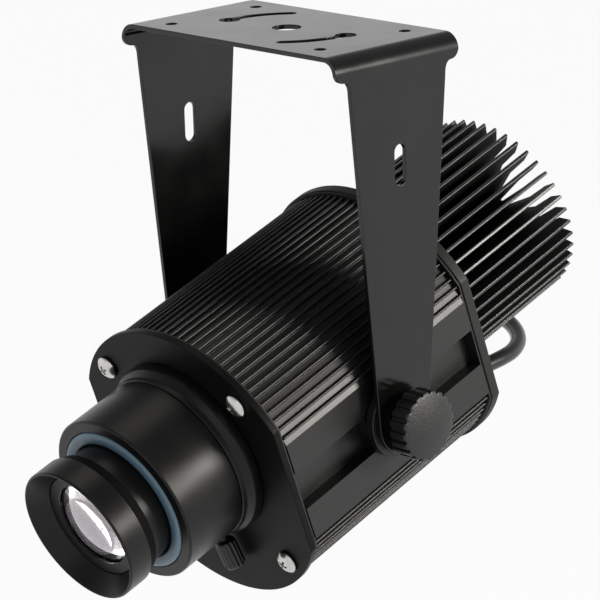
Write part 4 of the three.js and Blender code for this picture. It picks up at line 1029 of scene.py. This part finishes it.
def sink_mesh():
    base_rear = SINK["front"] + SINK["base_thickness"]
    floor = SINK["rear"] - SINK["recess_depth"]
    core, fin_front = SINK["core"], base_rear - CLEARANCE
    root = core - SINK["root"]
    outline = [
        (root, fin_front), (SINK["radius"], fin_front), (SINK["radius"], SINK["rear"]),
        (SINK["recess"], SINK["rear"]), (SINK["recess_floor"], floor), (root, floor),
    ]
    half = SINK["thickness"] / 2
    fin = slab("fin", [outline], -half, half, 0.5, axis="z", rounds=3)
    fins = []
    for i in range(SINK["fins"]):
        copy = fin.copy()
        copy.transform(Matrix.Rotation(-TAU / 4 - TAU * i / SINK["fins"], 4, "Y"))
        fins.append(copy)
    pedestal, foot, base, front = SINK["pedestal"], SINK["pedestal_front"], SINK["base"], SINK["front"]
    body = lathe("core", [
        (0, foot), (pedestal, foot), (pedestal, front), (base, front), (base, base_rear), (core, base_rear),
        (core, floor), (0, floor),
    ], 128, 0.3)
    return merged("sink", [*fins, body])


piece("sink", sink_mesh(), OPTICS, "projector", "sink_black", ["heat_sink"], 40)

# Lock thumbscrew
LOCK = {
    "place": -68.3, "angle": -1.378, "tip": 36.6, "shank": 1.9, "head": 4.7, "foot": 43.9, "length": 13.2,
    "grooves": 14, "depth": 0.5,
}


def thumb_mesh():
    head, foot, top = LOCK["head"], LOCK["foot"], LOCK["foot"] + LOCK["length"]
    # Each ring is (radius, y, share of the grooves)
    rings = [
        (0, LOCK["tip"], 0), (LOCK["shank"], LOCK["tip"], 0), (LOCK["shank"], foot, 0), (3.6, foot, 0),
        (4.1, foot + 0.4, 0), (head - 0.3, foot + 1.0, 0.4), (head, foot + 1.8, 1), (head, top - 1.6, 1),
        (head - 0.25, top - 0.7, 0.5), (head - 0.8, top - 0.15, 0), (3.2, top, 0), (0, top, 0),
    ]

    def knurled(r, share, angle):
        return r - LOCK["depth"] * share * (0.5 - 0.5 * math.cos(angle * LOCK["grooves"]))

    return revolve("thumb", rings, LOCK["grooves"] * 10, knurled)


lock_way = Vector((math.cos(LOCK["angle"]), 0, math.sin(LOCK["angle"])))
lock_turn = Vector((0, 1, 0)).rotation_difference(lock_way).to_matrix().to_4x4()
LOCK_FRAME = OPTICS @ Matrix.Translation((0, LOCK["place"], 0)) @ lock_turn
piece("thumbscrew", thumb_mesh(), LOCK_FRAME, "lock_screw", "black_plastic", ["lock_screw"], 50)

# Gland
GLAND_FRAME = HOUSING @ Matrix.Translation((GLAND_X, 0, GLAND_Z))
GLAND = {"hexagon": 9.4, "stem": 6.6, "stem_front": 53.9, "stem_rear": 71.8, "bore": 4.0, "dome_bore": 6.9}
GLAND_SEAT = (REAR_PLATE_REAR + CLEARANCE, REAR_PLATE_REAR + CLEARANCE + GLAND_FLANGE_LENGTH)
hexagon = [polar(GLAND["hexagon"], TAU * k / 6) for k in range(6)]
stem_profile = [
    (GLAND["bore"], GLAND["stem_front"]), (GLAND["stem"], GLAND["stem_front"]),
    (GLAND["stem"], GLAND["stem_rear"]), (GLAND["bore"], GLAND["stem_rear"]),
]
piece("gland_hex", merged("gland_hex", [
    slab("gland_flange", [hexagon, ring_points(GLAND["bore"], steps=32)], *GLAND_SEAT, 0.4),
    lathe("gland_stem", stem_profile, 64, 0.3),
]), GLAND_FRAME, "projector", "black_plastic", ["gland_body"])
cord_hole = CORD_RADIUS + CLEARANCE
dome_profile = [
    (cord_hole, DOME_FOOT + 5.6), (GLAND["dome_bore"], DOME_FOOT + 5.3), (GLAND["dome_bore"], DOME_FOOT),
    (8.9, DOME_FOOT), (8.9, DOME_FOOT + 9.5), (8.5, DOME_FOOT + 11.5), (7.6, DOME_FOOT + 14.0),
    (6.5, DOME_FOOT + 17.2), (5.6, DOME_TOP - 0.8), (5.2, DOME_TOP), (cord_hole, DOME_TOP),
]
piece("gland_dome", lathe("gland_nut", dome_profile, 96, 0.5), GLAND_FRAME, "projector", "black_plastic",
      ["gland_nut"], 45)

# Stage
FLOOR_DROP, FLOOR_REACH, FLOOR_GLOW = -0.62, 12, 0.93
FLOOR_COLOUR, FLOOR_GRAIN = (0.86, 0.86, 0.85, 1), 0.985


def make_floor():
    """A pale floor that cameras, reflections and views through glass see as nearly white."""
    corners = [(x * FLOOR_REACH, y * FLOOR_REACH, FLOOR_DROP) for x, y in CORNERS]
    mesh = mesh_of("floor", corners, [(0, 1, 2, 3)])
    floor = placed("floor", mesh)
    n = Nodes("floor_paper")
    grain = n.noise(n.local((0, 0, 0)), 0.02, 3)
    grainy = tuple(c * FLOOR_GRAIN for c in FLOOR_COLOUR[:3]) + (1,)
    n.set(Base_Color=n.mix(grain, FLOOR_COLOUR, grainy), Roughness=0.9, Specular_IOR_Level=0.1)
    mesh.materials.append(n.material)
    path = n.add("ShaderNodeLightPath")
    seen = n.math("MAXIMUM", path.outputs["Is Camera Ray"], path.outputs["Is Transmission Ray"])
    share = n.math("MULTIPLY", n.math("MAXIMUM", seen, path.outputs["Is Glossy Ray"]), FLOOR_GLOW)
    glow = n.add("ShaderNodeEmission")
    glow.inputs["Color"].default_value = (1, 1, 1, 1)
    surface = n.feed(n.add("ShaderNodeMixShader"), share, n.shader.outputs[0], glow.outputs[0])
    n.join(surface, n.tree.nodes["Material Output"].inputs["Surface"])


make_floor()

# Reflections fade from the first rise to the second, and objects are lit by this much of the white
CEILING_FROM, CEILING_TO, CEILING_LIGHT = 0.1, 0.6, 0.3
DIFFUSE_LIGHT = 0.45


def make_world():
    """A white surround. Reflections find it bright near the horizon and dim overhead."""
    world = bpy.data.worlds.new("studio")
    bpy.context.scene.world = world
    world.use_nodes = True
    tree = world.node_tree
    background = tree.nodes["Background"]

    def step(kind, *inputs, **values):
        node = tree.nodes.new(kind)
        for key, value in values.items():
            setattr(node, key, value)
        for socket, value in zip(node.inputs, inputs):
            if isinstance(value, bpy.types.NodeSocket):
                tree.links.new(value, socket)
            else:
                socket.default_value = value
        return node.outputs

    path = step("ShaderNodeLightPath")
    way = step("ShaderNodeTexCoord")["Generated"]
    rise = step("ShaderNodeSeparateXYZ", way)["Z"]
    ceiling = step("ShaderNodeMapRange", rise, CEILING_FROM, CEILING_TO, 1.0, CEILING_LIGHT,
                   interpolation_type="SMOOTHSTEP")[0]
    clear = step("ShaderNodeMath", path["Is Camera Ray"], path["Is Transmission Ray"], operation="MAXIMUM")[0]
    glossy = step("ShaderNodeMapRange", path["Is Glossy Ray"], 0.0, 1.0, DIFFUSE_LIGHT, ceiling)[0]
    strength = step("ShaderNodeMapRange", clear, 0.0, 1.0, glossy, 1.0)[0]
    background.inputs["Color"].default_value = (1, 1, 1, 1)
    tree.links.new(strength, background.inputs["Strength"])


make_world()

WARM = (1.0, 0.955, 0.89)
LAMP_TARGET = (0, 0, -0.12)


def soft_lamp(name, way, distance, width, height, radiance):
    """A warm soft box that faces the object from that direction."""
    target = Vector(LAMP_TARGET)
    data = bpy.data.lights.new(name, "AREA")
    data.shape = "RECTANGLE"
    data.size, data.size_y = width, height
    data.color = WARM
    data.energy = radiance * math.pi * width * height
    lamp = placed(name, data)
    lamp.location = target + Vector(way).normalized() * distance
    lamp.rotation_mode = "QUATERNION"
    lamp.rotation_quaternion = (target - lamp.location).to_track_quat("-Z", "Y")


soft_lamp("lamp_side", (0.838, 0.485, 0.25), 1.5, 0.4, 0.42, 38.0)
soft_lamp("lamp_front", (0.6, -0.9, 0.55), 1.8, 0.8, 0.6, 0.8)
soft_lamp("lamp_top", (-0.2, 0.1, 1.0), 1.6, 0.8, 0.8, 1.2)

bpy.context.scene.view_settings.view_transform = "Standard"
